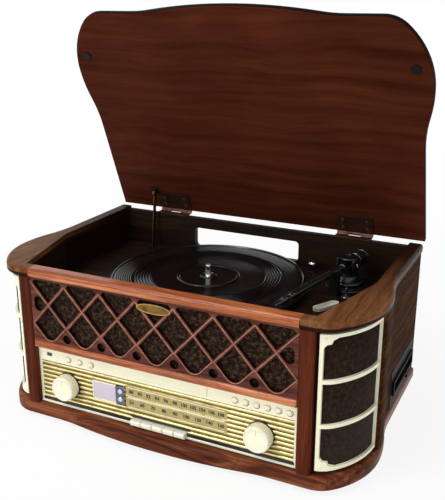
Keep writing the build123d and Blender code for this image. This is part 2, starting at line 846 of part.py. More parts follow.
drive_bottom = plinth_top + drive_low
drive_top = plinth_top + drive_high
drive_front = fascia_back + seam
with BuildPart() as cd_drive:
    with BuildSketch(Plane.XY.offset(drive_bottom)):
        with Locations((0, drive_front + drive_depth / 2)):
            Rectangle(2 * (tray_plate_half_width + seam + drive_wall), drive_depth)
    extrude(amount=drive_top - drive_bottom)
    with BuildSketch(front_plane(drive_front + drive_depth - drive_wall)):
        with Locations((0, (tray_low - seam + drive_top - drive_wall) / 2)):
            Rectangle(2 * (tray_plate_half_width + seam), drive_top - drive_wall - tray_low + seam)
    extrude(amount=drive_depth, mode=Mode.SUBTRACT)
save(cd_drive, "cd_drive")

# ---------------------------------------------------------------- deck board and speaker baffles
spindle = (spindle_x, front + spindle_y)
motor_place = (motor_x, front + motor_y)
arm_place = (arm_x, front + arm_y)
lever_place = (lever_x, front + lever_y)
lid_cos = cos(radians(lid_open_angle))
lid_sin = sin(radians(lid_open_angle))
stay_top_y = front + hinge_y - stay_pivot_back * lid_cos - stay_pivot_drop * lid_sin
stay_top_z = hinge_z + stay_pivot_back * lid_sin - stay_pivot_drop * lid_cos
stay_slot_y = stay_top_y - (stay_top_z - deck_top) * tan(radians(stay_lean))
deck_outline = [
    (opening_half_width, front + well_front + seam),
    (baffle_front_half_width - seam, front + well_front + seam),
    (well_half_width - seam, front + well_front + baffle_depth),
    (well_half_width - seam, rear_panel_front - seam),
]
with BuildPart() as deck_board:
    with BuildSketch(Plane.XY.offset(deck_low)):
        with BuildLine():
            Polyline(*deck_outline, *[(-x, y) for x, y in reversed(deck_outline)], close=True)
        make_face()
        with Locations(spindle):
            Circle(bearing_radius + running_fit, mode=Mode.SUBTRACT)
        with Locations(motor_place):
            Circle(motor_shaft_radius + motor_shaft_clear, mode=Mode.SUBTRACT)
        with Locations(lever_place):
            Circle(lever_pin_radius + running_fit, mode=Mode.SUBTRACT)
        with Locations((stay_x, stay_slot_y)):
            Rectangle(stay_slot_width, stay_slot_length, mode=Mode.SUBTRACT)
    extrude(amount=deck_thickness)
save(deck_board, "deck_board")

baffle_turn = atan((well_half_width - baffle_front_half_width) / baffle_depth)
outer_shift = baffle_thickness / cos(baffle_turn)  # the board's thickness measured along X
outer_reach = baffle_depth * (1 - outer_shift / (well_half_width - baffle_front_half_width))
speaker_half_width = baffle_front_half_width + (speaker_y - well_front) * tan(baffle_turn)
speaker_z = plinth_top + speaker_rise


def speaker_plane(side):
    """A plane on the inner face of a baffle, at its speaker's centre, facing out to the corner."""
    return Plane(
        origin=(side * speaker_half_width, front + speaker_y, speaker_z),
        x_dir=(0, 0, 1),
        z_dir=(side * cos(baffle_turn), -sin(baffle_turn), 0),
    )


with BuildPart() as speaker_baffles:
    for side in (-1, 1):
        with BuildSketch(Plane.XY.offset(plinth_top)):
            with BuildLine():
                Polyline(
                    (side * baffle_front_half_width, front + well_front),
                    (side * well_half_width, front + well_front + baffle_depth),
                    (side * well_half_width, front + well_front + outer_reach),
                    (side * (baffle_front_half_width + outer_shift), front + well_front),
                    close=True,
                )
            make_face()
        extrude(amount=cap_low - plinth_top)
        with BuildSketch(speaker_plane(side)):
            Circle(speaker_hole_radius)
        extrude(amount=2 * baffle_thickness, both=True, mode=Mode.SUBTRACT)
save(speaker_baffles, "speaker_baffles")

with BuildPart() as speakers:
    for side in (-1, 1):
        with BuildSketch(speaker_plane(side).offset(baffle_thickness)):
            Circle(speaker_radius)
            Circle(cone_radius, mode=Mode.SUBTRACT)
        extrude(amount=speaker_flange)
        with BuildSketch(speaker_plane(side).offset(baffle_thickness)):
            Circle(speaker_hole_radius - seam)
            Circle(cone_radius, mode=Mode.SUBTRACT)
        extrude(amount=-cone_depth)
        with BuildSketch(speaker_plane(side).offset(baffle_thickness - cone_depth)):
            Circle(speaker_hole_radius - seam)
        extrude(amount=-speaker_flange)
        with BuildSketch(speaker_plane(side).offset(baffle_thickness - cone_depth)):
            Circle(dust_cap_radius)
        extrude(amount=cone_depth / 2)
        with BuildSketch(speaker_plane(side).offset(baffle_thickness - cone_depth - speaker_flange)):
            Circle(magnet_radius)
        extrude(amount=-(speaker_depth - cone_depth))
save(speakers, "speakers")

# ---------------------------------------------------------------- corner grilles
trim_bottom = plinth_top + trim_low
trim_top = cap_low - trim_high
trim_start = opening_half_width + post_width + trim_gap
trim_end = front + side_front - seam


def grille_band(side, outer, inner, low, high):
    """The curved wall of a front corner between two insets of the plan."""
    with BuildPart() as band:
        with BuildSketch(Plane.XY.offset(low)):
            with BuildLine():
                plan_edges(outer, front - plinth_overhang, rear)
            make_face()
            with BuildLine():
                plan_edges(inner, front - plinth_overhang, rear)
            make_face(mode=Mode.SUBTRACT)
            width = shoulder_half_width - trim_start
            with Locations((side * (trim_start + width / 2), (front + trim_end) / 2 - post_depth / 2)):
                Rectangle(width, trim_end - front + post_depth, mode=Mode.INTERSECT)
        extrude(amount=high - low)
    return band


pane_left = trim_start + trim_border
pane_end = trim_end - trim_rear_border
pane_height = (trim_top - trim_bottom - 2 * trim_border - 2 * trim_bar) / 3


def grille_frame(side):
    """The trim round a front corner, with three panes and a gusset at top and bottom of its front."""
    trim_outer = grille_inset - trim_thickness
    with BuildPart() as gussets:
        add(grille_band(side, trim_outer, grille_inset, trim_bottom, trim_top).part)
        with BuildSketch(front_plane(front + side_front)):
            for z, up in ((trim_bottom + trim_border, 1), (trim_top - trim_border, -1)):
                with BuildLine():
                    Polyline(
                        (side * (pane_left - seam), z - up * seam),
                        *[
                            (side * (pane_left + across * gusset_size), z + up * rise * gusset_size)
                            for across, rise in gusset_outline
                        ],
                        close=True,
                    )
                make_face()
        extrude(amount=side_front + post_depth, mode=Mode.INTERSECT)
    with BuildPart() as frame:
        add(grille_band(side, trim_outer, grille_inset, trim_bottom, trim_top).part)
        for i in range(3):
            low = trim_bottom + trim_border + i * (pane_height + trim_bar)
            with BuildSketch(Plane.XY.offset(low)):
                width = shoulder_half_width - pane_left
                with Locations((side * (pane_left + width / 2), (front + pane_end) / 2 - post_depth / 2)):
                    Rectangle(width, pane_end - front + post_depth)
            extrude(amount=pane_height, mode=Mode.SUBTRACT)
        add(gussets.part)
    return frame


left_grille_frame = grille_frame(-1)
save(left_grille_frame, "left_grille_frame")
right_grille_frame = grille_frame(1)
save(right_grille_frame, "right_grille_frame")

cloth_outer = grille_inset + button_fit
cloth_inner = cloth_outer + grille_cloth_thickness
with BuildPart() as grille_cloths:
    for side in (-1, 1):
        add(grille_band(side, cloth_outer, cloth_inner, plinth_top, cap_low).part)
save(grille_cloths, "grille_cloths")

# ---------------------------------------------------------------- platter, mat, motor and belt
platter_top = deck_top + platter_rise
ring_low = platter_top - platter_skirt
with BuildPart() as platter:
    with BuildSketch(Plane.XY.offset(platter_top - platter_web)):
        with Locations(spindle):
            Circle(platter_radius)
    extrude(amount=platter_web)
    with BuildSketch(Plane.XY.offset(ring_low)):
        with Locations(spindle):
            Circle(platter_radius)
            Circle(platter_radius - platter_wall, mode=Mode.SUBTRACT)
            Circle(drive_ring_radius)
            Circle(drive_ring_radius - drive_ring_wall, mode=Mode.SUBTRACT)
    extrude(amount=platter_skirt)
    with BuildSketch(Plane.XY.offset(deck_top + seam)):
        with Locations(spindle):
            Circle(hub_radius)
    extrude(amount=platter_rise - seam)
    with BuildSketch(Plane.XY.offset(deck_top - bearing_length)):
        with Locations(spindle):
            Circle(bearing_radius)
    extrude(amount=bearing_length + platter_rise)
    with BuildSketch(Plane.XY.offset(platter_top)):
        with Locations(spindle):
            Circle(spindle_radius)
    extrude(amount=mat_thickness + spindle_height)
    fillet(platter.edges().group_by(Axis.Z)[-1], radius=spindle_round)
save(platter, "platter")

with BuildPart() as platter_mat:
    with BuildSketch(Plane.XY.offset(platter_top)):
        with Locations(spindle):
            Circle(platter_radius - mat_margin)
            Circle(mat_hole_radius, mode=Mode.SUBTRACT)
    extrude(amount=mat_thickness)
    with BuildSketch(Plane.XY.offset(platter_top + mat_thickness - groove_depth)):
        for inset in mat_groove_insets:
            with Locations(spindle):
                Circle(platter_radius - inset)
                Circle(platter_radius - inset - groove_width, mode=Mode.SUBTRACT)
    extrude(amount=groove_depth, mode=Mode.SUBTRACT)
save(platter_mat, "platter_mat")

with BuildPart() as turntable_motor:
    with BuildSketch(Plane.XY.offset(deck_low - motor_height)):
        with Locations(motor_place):
            Circle(motor_radius)
            Circle(motor_shaft_radius + running_fit, mode=Mode.SUBTRACT)
    extrude(amount=motor_height)
save(turntable_motor, "turntable_motor")

pulley_low = ring_low + (platter_skirt - platter_web - pulley_height) / 2
with BuildPart() as motor_pulley:
    with BuildSketch(Plane.XY.offset(pulley_low)):
        with Locations(motor_place):
            Circle(pulley_radius)
    extrude(amount=pulley_height)
    with BuildSketch(Plane.XY.offset(deck_low - motor_height)):
        with Locations(motor_place):
            Circle(motor_shaft_radius)
    extrude(amount=pulley_low - deck_low + motor_height)
save(motor_pulley, "motor_pulley")

belt_low = ring_low + (platter_skirt - platter_web - belt_height) / 2
with BuildPart() as drive_belt:
    for swell, mode in ((belt_thickness, Mode.ADD), (0, Mode.SUBTRACT)):
        with BuildSketch(Plane.XY.offset(belt_low)):
            with Locations(spindle):
                Circle(drive_ring_radius + belt_fit + swell)
            with Locations(motor_place):
                Circle(pulley_radius + belt_fit + swell)
            make_hull()
        extrude(amount=belt_height, mode=mode)
save(drive_belt, "drive_belt")

# ---------------------------------------------------------------- tonearm
arm_heading = (-sin(radians(arm_rest_angle)), -cos(radians(arm_rest_angle)), 0)
arm_z = deck_top + arm_rise
post_top = arm_z - gimbal_drop
arm_centre = (arm_place[0], arm_place[1], arm_z)


def arm_plane(z):
    """A level plane at the tonearm's pivot, its x running forward along the resting arm."""
    return Plane(origin=(arm_place[0], arm_place[1], z), x_dir=arm_heading, z_dir=(0, 0, 1))


def pivot_plane():
    """An upright plane along the resting arm, square to the arm's lifting pivot."""
    return Plane(origin=arm_centre, x_dir=(0, 0, 1), z_dir=(arm_heading[1], -arm_heading[0], 0))


def arm_section(reach):
    """A plane square to the resting arm, this far in front of its pivot."""
    centre = [arm_centre[i] + reach * arm_heading[i] for i in range(3)]
    return Plane(origin=centre, x_dir=(arm_heading[1], -arm_heading[0], 0), z_dir=arm_heading)


with BuildPart() as tonearm_base:
    with BuildSketch(Plane.XY.offset(deck_top)):
        with Locations(arm_place):
            Circle(arm_base_radius)
    extrude(amount=arm_base_height)
    fillet(tonearm_base.edges().group_by(Axis.Z)[-1], radius=arm_base_round)
    with BuildSketch(Plane.XY.offset(deck_top)):
        with Locations(arm_place):
            Circle(arm_post_radius)
    extrude(amount=post_top - deck_top)
    with BuildSketch(Plane.XY.offset(post_top - gimbal_pin_length - seam)):
        with Locations(arm_place):
            Circle(gimbal_pin_radius + running_fit)
    extrude(amount=gimbal_pin_length + seam, mode=Mode.SUBTRACT)
    with BuildSketch(arm_plane(deck_top)):
        with Locations((rest_reach / 2, 0)):
            Rectangle(rest_reach + rest_width, rest_width)
    extrude(amount=arm_base_height)
    with BuildSketch(arm_plane(deck_top)):
        with Locations((rest_reach, 0)):
            Rectangle(rest_width, 2 * (arm_radius + seam + rest_hook))
    extrude(amount=arm_rise - arm_radius - seam)
    with BuildSketch(arm_plane(deck_top)):
        with Locations((rest_reach, arm_radius + seam + rest_hook / 2)):
            Rectangle(rest_width, rest_hook)
    extrude(amount=arm_rise)
save(tonearm_base, "tonearm_base")

with BuildPart() as tonearm_gimbal:
    with BuildSketch(arm_plane(post_top + seam)):
        Circle(gimbal_radius)
    extrude(amount=gimbal_plate)
    with BuildSketch(arm_plane(post_top + seam)):
        for side in (-1, 1):
            with Locations((0, side * (gimbal_gap + gimbal_ear / 2))):
                Rectangle(gimbal_ear_width, gimbal_ear)
    extrude(amount=arm_z - post_top + pivot_radius + gimbal_ear)
    with BuildSketch(arm_plane(post_top - gimbal_pin_length)):
        Circle(gimbal_pin_radius)
    extrude(amount=gimbal_pin_length + 2 * seam)
    with BuildSketch(pivot_plane()):
        Circle(pivot_radius + running_fit)
    extrude(amount=2 * gimbal_radius, both=True, mode=Mode.SUBTRACT)
save(tonearm_gimbal, "tonearm_gimbal")

weight_end = weight_start + weight_length
with BuildPart() as tonearm:
    with BuildSketch(arm_section(-weight_end)):
        Circle(arm_radius)
    extrude(amount=weight_end + arm_length - shell_length / 2)
    with BuildSketch(arm_section(-weight_end)):
        Circle(weight_radius)
    extrude(amount=weight_length)
    weight_rims = tonearm.edges().filter_by(GeomType.CIRCLE).filter_by(lambda e: e.radius == weight_radius)
    fillet(weight_rims, radius=weight_round)
    with BuildSketch(pivot_plane()):
        Circle(pivot_radius)
    extrude(amount=gimbal_gap + gimbal_ear, both=True)
    with BuildSketch(arm_plane(arm_z - arm_radius)):
        with Locations((arm_length - shell_length / 2 + shell_tip, 0)):
            Rectangle(shell_length, shell_width)
    extrude(amount=shell_thickness)
    with BuildSketch(arm_plane(deck_top + platter_rise + mat_thickness + stylus_clear)):
        with Locations((arm_length, 0)):
            Rectangle(cartridge_length, cartridge_width)
    extrude(amount=arm_rise - arm_radius - platter_rise - mat_thickness - stylus_clear + seam)
save(tonearm, "tonearm")

with BuildPart() as speed_lever:
    with BuildSketch(Plane.XY.offset(deck_top + seam)):
        with Locations(lever_place):
            SlotOverall(lever_length, lever_width, rotation=lever_angle)
    extrude(amount=lever_thickness)
    with BuildSketch(Plane.XY.offset(deck_low)):
        with Locations(lever_place):
            Circle(lever_pin_radius)
    extrude(amount=deck_thickness + 2 * seam)
save(speed_lever, "speed_lever")

# ---------------------------------------------------------------- cassette deck
cassette_back_x = cassette_face_x - cassette_depth
cassette_middle = front + (cassette_front + cassette_rear) / 2
slot_z = plinth_top + slot_rise + slot_height / 2
button_y = front + cassette_rear - 2 * cassette_button_length
cassette_button_z = plinth_top + cassette_button_rise + cassette_button_height / 2
with BuildPart() as cassette_deck:
    with BuildSketch(Plane.YZ.offset(cassette_back_x)):
        with Locations((cassette_middle, plinth_top + (cassette_height - seam) / 2)):
            Rectangle(cassette_rear - cassette_front - 2 * seam, cassette_height - seam)
    extrude(amount=cassette_depth)
    with BuildSketch(Plane.YZ.offset(cassette_face_x)):
        with Locations((cassette_middle, slot_z)):
            Rectangle(slot_length + 2 * slot_lip, slot_height + 2 * slot_lip)
            Rectangle(slot_length, slot_height, mode=Mode.SUBTRACT)
    extrude(amount=slot_lip)
    with BuildSketch(Plane.YZ.offset(cassette_face_x - slot_depth)):
        with Locations((cassette_middle, slot_z)):
            Rectangle(slot_length, slot_height)
    extrude(amount=slot_depth, mode=Mode.SUBTRACT)
    with BuildSketch(Plane.YZ.offset(cassette_face_x - cassette_button_depth)):
        with Locations((button_y, cassette_button_z)):
            Rectangle(cassette_button_length + 2 * button_fit, cassette_button_height + 2 * button_fit)
    extrude(amount=cassette_button_depth, mode=Mode.SUBTRACT)
save(cassette_deck, "cassette_deck")

with BuildPart() as cassette_button:
    with BuildSketch(Plane.YZ.offset(cassette_face_x - cassette_button_depth + cassette_button_travel)):
        with Locations((button_y, cassette_button_z)):
            Rectangle(cassette_button_length, cassette_button_height)
    extrude(amount=cassette_button_depth - cassette_button_travel + cassette_proud)
    fillet(cassette_button.edges().group_by(Axis.X)[-1], radius=cassette_button_round)
save(cassette_button, "cassette_button")

# ---------------------------------------------------------------- electronics
board_low = plinth_top + board_rise
board_back = rear_panel_front - seam
board_y = board_back - board_depth / 2
socket_length = socket_proud + rear_panel_thickness + seam + socket_body
with BuildPart() as main_board:
    with BuildSketch(Plane.XY.offset(board_low)):
        with Locations((board_centre_x, board_y)):
            Rectangle(board_width, board_depth)
    extrude(amount=board_thickness)
    with BuildSketch(Plane.XY.offset(plinth_top)):
        with Locations((board_centre_x, board_y)):
            with GridLocations(board_width - 2 * standoff_inset, board_depth - 2 * standoff_inset, 2, 2):
                Circle(standoff_radius)
    extrude(amount=board_rise)
    with BuildSketch(Plane.XY.offset(board_low + board_thickness)):
        with Locations((board_centre_x - board_width / 4, board_y - board_depth / 4)):
            Rectangle(supply_block[0], supply_block[1])
    extrude(amount=supply_block[2])
    with BuildSketch(front_plane(rear + socket_proud)):
        with Locations(*[(x, socket_z) for x in socket_x]):
            Circle(socket_radius)
    extrude(amount=socket_length)
    with BuildSketch(front_plane(rear + socket_proud)):
        with Locations((inlet_x, socket_z)):
            Rectangle(inlet_width, inlet_height)
    extrude(amount=socket_length)
    with BuildSketch(front_plane(board_back)):
        with Locations(*[(x, (board_low + socket_z) / 2) for x in [*socket_x, inlet_x]]):
            Rectangle(socket_foot_width, socket_z - board_low)
    extrude(amount=socket_body)
save(main_board, "main_board")

# ---------------------------------------------------------------- lid, hinges and stay
hinge_centre = (0, front + hinge_y, hinge_z)
lid_up = (0, lid_sin, lid_cos)
lid_rise = lid_low - hinge_z  # the inner face lies this far above the hinge axis when closed
lid_front = lid_rear_reach - lid_length


def lid_plane(height=0.0):
    """A plane of the open lid: y runs from its front to its rear, from the hinge axis."""
    return Plane(origin=hinge_centre, x_dir=(1, 0, 0), z_dir=lid_up).offset(height)


def lid_section(x):
    """A plane square to the hinge axis: its x is the open lid's y, its y the lid's outward normal."""
    return Plane(origin=(x, hinge_centre[1], hinge_z), x_dir=(0, lid_cos, -lid_sin), z_dir=(1, 0, 0))


with BuildPart() as lid_board:
    with BuildSketch(lid_plane(lid_rise)):
        with BuildLine():
            plan_edges(0, lid_front, lid_rear_reach, bow_depth)
        make_face()
    extrude(amount=lid_thickness)
    fillet(lid_board.faces().sort_by(Axis((0, 0, 0), lid_up))[0].edges(), radius=lid_under_round)
    fillet(lid_board.faces().sort_by(Axis((0, 0, 0), lid_up))[-1].edges(), radius=lid_round)
save(lid_board, "lid_board")

bumper_height = lid_gap - seam
with BuildPart() as lid_bumpers:
    with BuildSketch(lid_plane(lid_rise)):
        with Locations(*[(side * bumper_x, bumper_y - hinge_y) for side in (-1, 1)]):
            Circle(bumper_radius)
    extrude(amount=-bumper_height)
save(lid_bumpers, "lid_bumpers")

knuckle_length = hinge_width / 3
knuckle_front = front + hinge_y - knuckle_radius
leaf_front = rear_panel_front + leaf_margin
with BuildPart() as cabinet_hinge_leaves:
    for x in (-hinge_offset, hinge_offset):
        start = x - hinge_width / 2
        with BuildSketch(Plane.YZ.offset(start)):
            with BuildLine():
                Polyline(
                    (leaf_front, rear_panel_top),
                    (knuckle_front, rear_panel_top),
                    (knuckle_front + 2 * knuckle_radius, hinge_z),
                    (knuckle_front, hinge_z),
                    (knuckle_front - leaf_bend, rear_panel_top + leaf_thickness),
                    (leaf_front, rear_panel_top + leaf_thickness),
                    close=True,
                )
            make_face()
            with Locations((front + hinge_y, hinge_z)):
                Circle(knuckle_radius)
        extrude(amount=hinge_width)
        with BuildSketch(Plane.YZ.offset(start + knuckle_length - seam)):
            with Locations((front + hinge_y, hinge_z)):
                Rectangle(2 * knuckle_cut, 2 * knuckle_cut)
        extrude(amount=knuckle_length + 2 * seam, mode=Mode.SUBTRACT)
        with BuildSketch(Plane.YZ.offset(start)):
            with Locations((front + hinge_y, hinge_z)):
                Circle(hinge_pin_radius)
        extrude(amount=hinge_width)
save(cabinet_hinge_leaves, "cabinet_hinge_leaves")

with BuildPart() as lid_hinge_leaves:
    for x in (-hinge_offset, hinge_offset):
        with BuildSketch(lid_section(x - hinge_width / 2)):
            with Locations((-knuckle_radius - lid_leaf_length / 2, lid_rise - leaf_thickness / 2)):
                Rectangle(lid_leaf_length, leaf_thickness)
        extrude(amount=hinge_width)
        with BuildSketch(lid_section(x - knuckle_length / 2)):
            Circle(knuckle_radius)
            with Locations((-knuckle_radius, lid_rise - leaf_thickness / 2)):
                Rectangle(2 * knuckle_radius, leaf_thickness)
        extrude(amount=knuckle_length)
        with BuildSketch(lid_section(x - hinge_width / 2)):
            Circle(hinge_pin_radius + running_fit)
        extrude(amount=hinge_width, mode=Mode.SUBTRACT)
save(lid_hinge_leaves, "lid_hinge_leaves")

ear_x = stay_x - stay_thickness / 2 - seam - leaf_thickness
with BuildPart() as stay_bracket:
    with BuildSketch(lid_section(ear_x - bracket_foot)):
        with Locations((-stay_pivot_back, lid_rise - leaf_thickness / 2)):
            Rectangle(2 * stay_eye_radius, leaf_thickness)
    extrude(amount=bracket_foot + leaf_thickness)
    with BuildSketch(lid_section(ear_x)):
        with Locations((-stay_pivot_back, (lid_rise - stay_pivot_drop) / 2)):
            Rectangle(2 * stay_eye_radius, lid_rise + stay_pivot_drop)
        with Locations((-stay_pivot_back, -stay_pivot_drop)):
            Circle(stay_eye_radius)
    extrude(amount=leaf_thickness)
    with BuildSketch(lid_section(ear_x)):
        with Locations((-stay_pivot_back, -stay_pivot_drop)):
            Circle(stay_pin_radius)
    extrude(amount=leaf_thickness + stay_thickness + 3 * seam)
save(stay_bracket, "stay_bracket")

stay_plane = Plane(
    origin=(stay_x - stay_thickness / 2, stay_top_y, stay_top_z),
    x_dir=(0, cos(radians(stay_lean)), -sin(radians(stay_lean))),
    z_dir=(1, 0, 0),
)
with BuildPart() as lid_stay:
    with BuildSketch(stay_plane):
        Circle(stay_eye_radius)
        with Locations((0, -stay_length / 2)):
            Rectangle(stay_width, stay_length)
        Circle(stay_pin_radius + running_fit, mode=Mode.SUBTRACT)
    extrude(amount=stay_thickness)
save(lid_stay, "lid_stay")
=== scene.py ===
# Stereo music centre: finishes, cloths, small fittings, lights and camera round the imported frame.
from functools import partial
from math import acos, cos, pi, radians, sin

import bmesh
import bpy
from mathutils import Matrix, Vector


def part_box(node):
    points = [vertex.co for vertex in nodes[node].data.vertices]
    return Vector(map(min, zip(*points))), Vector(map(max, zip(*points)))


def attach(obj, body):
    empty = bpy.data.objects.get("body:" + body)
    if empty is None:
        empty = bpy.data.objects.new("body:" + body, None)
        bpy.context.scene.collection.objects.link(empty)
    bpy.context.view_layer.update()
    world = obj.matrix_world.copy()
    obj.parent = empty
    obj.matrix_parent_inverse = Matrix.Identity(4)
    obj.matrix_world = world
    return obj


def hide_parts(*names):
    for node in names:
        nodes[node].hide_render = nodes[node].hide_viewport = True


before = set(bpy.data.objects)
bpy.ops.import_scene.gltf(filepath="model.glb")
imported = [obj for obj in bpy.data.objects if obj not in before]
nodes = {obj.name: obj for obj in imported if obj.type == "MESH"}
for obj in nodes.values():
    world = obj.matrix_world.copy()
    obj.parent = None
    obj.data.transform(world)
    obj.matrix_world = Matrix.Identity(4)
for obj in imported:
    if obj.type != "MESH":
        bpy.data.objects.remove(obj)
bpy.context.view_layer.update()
print("frame loaded:", len(nodes), "nodes")


def toLinear(hexColour):
    # sRGB hex to the linear values that Blender's sockets take
    parts = [int(hexColour[i:i + 2], 16) / 255 for i in (1, 3, 5)]
    return tuple(p / 12.92 if p <= 0.04045 else ((p + 0.055) / 1.055) ** 2.4 for p in parts) + (1.0,)


def addNode(tree, kind, inputs=None, to=None, stops=(), **settings):
    # one node with its settings, its inputs as values, sockets or nodes, and the socket that it feeds
    node = tree.nodes.new(kind if "Node" in kind else "ShaderNode" + kind)
    first = lambda made: next(output for output in made.outputs if output.enabled)
    for name, value in settings.items():
        setattr(node, name, value)
    for key, value in (inputs or {}).items():
        if isinstance(value, bpy.types.Node):
            value = first(value)
        if isinstance(value, bpy.types.NodeSocket):
            tree.links.new(value, node.inputs[key])
        else:
            node.inputs[key].default_value = value
    for _ in stops[2:]:
        node.color_ramp.elements.new(0.5)
    for element, (place, colour) in zip(node.color_ramp.elements if stops else (), stops):
        element.position = place
        element.color = toLinear(colour) if isinstance(colour, str) else (colour,) * 3 + (1.0,)
    if to:
        tree.links.new(first(node), to)
    return node


multiplied = {"data_type": "RGBA", "blend_type": "MULTIPLY"}


def newMaterial(name, **shaderValues):
    # a material with one Principled shader, its plain values set on the shader's own sockets
    material = bpy.data.materials.new(name)
    material.use_nodes = True
    add = partial(addNode, material.node_tree)
    surface = material.node_tree.nodes["Principled BSDF"].inputs
    for key, value in shaderValues.items():
        surface[key].default_value = value
    return material, add, surface, add("TexCoord").outputs["Object"]


woodValues = {
    "ringWidth": 0.0080,     # m between the broad streaks of the veneer
    "ringLength": 0.70,      # m that a streak runs before it fades
    "poreWidth": 0.0011,     # m, coarser than real pores so that they show
    "poreLength": 0.030,
    "swayLength": 0.16, "swayWidth": 0.09,
    "sway": 0.034,           # m that the streaks wander sideways
    "endNormal": 0.6,        # a face of wrapped veneer that looks this far along X is an end
}


def stainedVeneer(name, dark, mid, light, along="X", tilt=0.0, seed=0.0, roughness=0.30, gloss=0.12,
                  bands=(), figure=1.0, poreShade=0.62, cloudShade=0.84, wrapped=False):
    # stained veneer under satin lacquer: streaks along the board, fine dark pores, a soft clear sheen;
    # each band (normal, from, to, blend, colour) is a colour of its own between two planes, most often
    # painted shade; figure widens the streaks, poreShade and cloudShade are the darkest that pores and
    # patches get, and wrapped veneer goes round the board, so that its end faces have the grain along Y
    v = woodValues
    material, add, surface, place = newMaterial(name, **{"Specular IOR Level": gloss})
    onFace = place
    if wrapped:
        normal = add("NewGeometry").outputs["Normal"]
        sideways = add("Math", {0: add("SeparateXYZ", {0: normal}).outputs["X"]}, operation="ABSOLUTE")
        isEnd = add("Math", {0: sideways, 1: v["endNormal"]}, operation="GREATER_THAN")
        axes = add("SeparateXYZ", {0: place}).outputs
        crossed = add("CombineXYZ", {"X": axes["Y"], "Y": axes["X"], "Z": axes["Z"]})
        onFace = add("Mix", {0: isEnd, 4: place, 5: crossed}, data_type="VECTOR")
    turned = add("Mapping", {
        "Vector": onFace, "Rotation": (tilt, 0, 0), "Location": (seed, seed * 0.7, seed * 1.3)})
    stretch = lambda length, width: tuple(1 / (length if axis == along else width) for axis in "XYZ")
    wide, ring, fine = (stretch(v[pattern + "Length"], v[pattern + "Width"] * share)
                        for pattern, share in (("sway", 1.0), ("ring", figure), ("pore", 1.0)))
    wander = add("TexNoise", {"Vector": add("VectorMath", {0: turned, 1: wide}, operation="MULTIPLY"),
                              "Scale": 1.0, "Detail": 0.6})
    centred = add("VectorMath", {0: wander.outputs["Color"], 1: (0.5, 0.5, 0.5)}, operation="SUBTRACT")
    push = add("VectorMath", {0: centred, 1: tuple(v["sway"] * r for r in ring)}, operation="MULTIPLY")
    bent = add("VectorMath", {0: turned, 1: ring, 2: push}, operation="MULTIPLY_ADD")
    streaks = add("TexNoise", {"Vector": bent, "Scale": 1.0, "Detail": 5.0, "Roughness": 0.6})
    pores = add("TexNoise", {"Vector": add("VectorMath", {0: turned, 1: fine}, operation="MULTIPLY"),
                             "Scale": 1.0, "Detail": 2.0})
    cloudy = add("TexNoise", {"Vector": turned, "Scale": 7.0, "Detail": 2.0})
    stained = add("ValToRGB", {"Fac": streaks}, stops=((0.32, dark), (0.5, mid), (0.70, light)))
    for pattern, start, darkest, stop in ((pores, 0.36, poreShade, 0.48), (cloudy, 0.3, cloudShade, 0.7)):
        shade = add("ValToRGB", {"Fac": pattern}, stops=((start, darkest), (stop, 1.0)))
        stained = add("Mix", {0: 1.0, 6: stained, 7: shade}, surface["Base Color"], **multiplied)
    for normal, start, stop, blend, bandColour in bands:
        depth = add("VectorMath", {0: place, 1: normal}, operation="DOT_PRODUCT")
        rise = add("MapRange", {"Value": depth, "From Min": start, "From Max": start + blend})
        fall = add("MapRange", {
            "Value": depth, "From Min": stop - blend, "From Max": stop, "To Min": 1.0, "To Max": 0.0})
        within = add("Math", {0: rise, 1: fall}, operation="MULTIPLY")
        stained = add("Mix", {0: within, 6: stained, 7: toLinear(bandColour)}, surface["Base Color"],
                      data_type="RGBA")
    add("MapRange", {"Value": streaks, "To Min": roughness + 0.08, "To Max": roughness - 0.04},
        surface["Roughness"])
    add("Bump", {"Height": pores, "Strength": 0.25, "Distance": 0.0002}, surface["Normal"])
    return material


def cloudedSurface(made, colour, cloud, grit, stops, roughness, bump):
    # what moulded surfaces share: a cloud (scale, detail) in the colour and the shine, and a grit,
    # as a bump (strength, distance), that breaks the shine
    material, add, surface, place = made
    clouds = add("TexNoise", {"Vector": place, "Scale": cloud[0], "Detail": cloud[1]})
    shade = add("ValToRGB", {"Fac": clouds}, stops=stops)
    grain = add("TexNoise", {"Vector": place, "Scale": grit})
    add("Mix", {0: 1.0, 6: toLinear(colour), 7: shade}, surface["Base Color"], **multiplied)
    add("MapRange", {"Value": clouds, "To Min": roughness[0], "To Max": roughness[1]}, surface["Roughness"])
    add("Bump", {"Height": grain, "Strength": bump[0], "Distance": bump[1]}, surface["Normal"])
    return material


def mouldedPlastic(name, colour, roughness=0.3, speckle=0.03, coat=0.0, gloss=0.5):
    # injection-moulded ABS: an even colour with a faint cloud in it and a clean, slightly broken shine
    made = newMaterial(name, **{
        "Coat Weight": coat, "Coat Roughness": 0.08, "IOR": 1.52, "Specular IOR Level": gloss})
    return cloudedSurface(made, colour, cloud=(30.0, 3.0), grit=1400.0,
                          stops=((0.3, 1 - speckle), (0.7, 1.0)),
                          roughness=(roughness - 0.05, roughness + 0.06), bump=(0.12, 0.00008))


def mouldedRubber(name, colour, roughness=0.5, gloss=0.5):
    # moulded rubber: near black, dusty in patches, with a soft highlight
    made = newMaterial(name, **{"Specular IOR Level": gloss})
    return cloudedSurface(made, colour, cloud=(60.0, 4.0), grit=2200.0,
                          stops=((0.35, 0.8), (0.75, 1.0)),
                          roughness=(roughness - 0.06, roughness + 0.08), bump=(0.1, 0.00005))


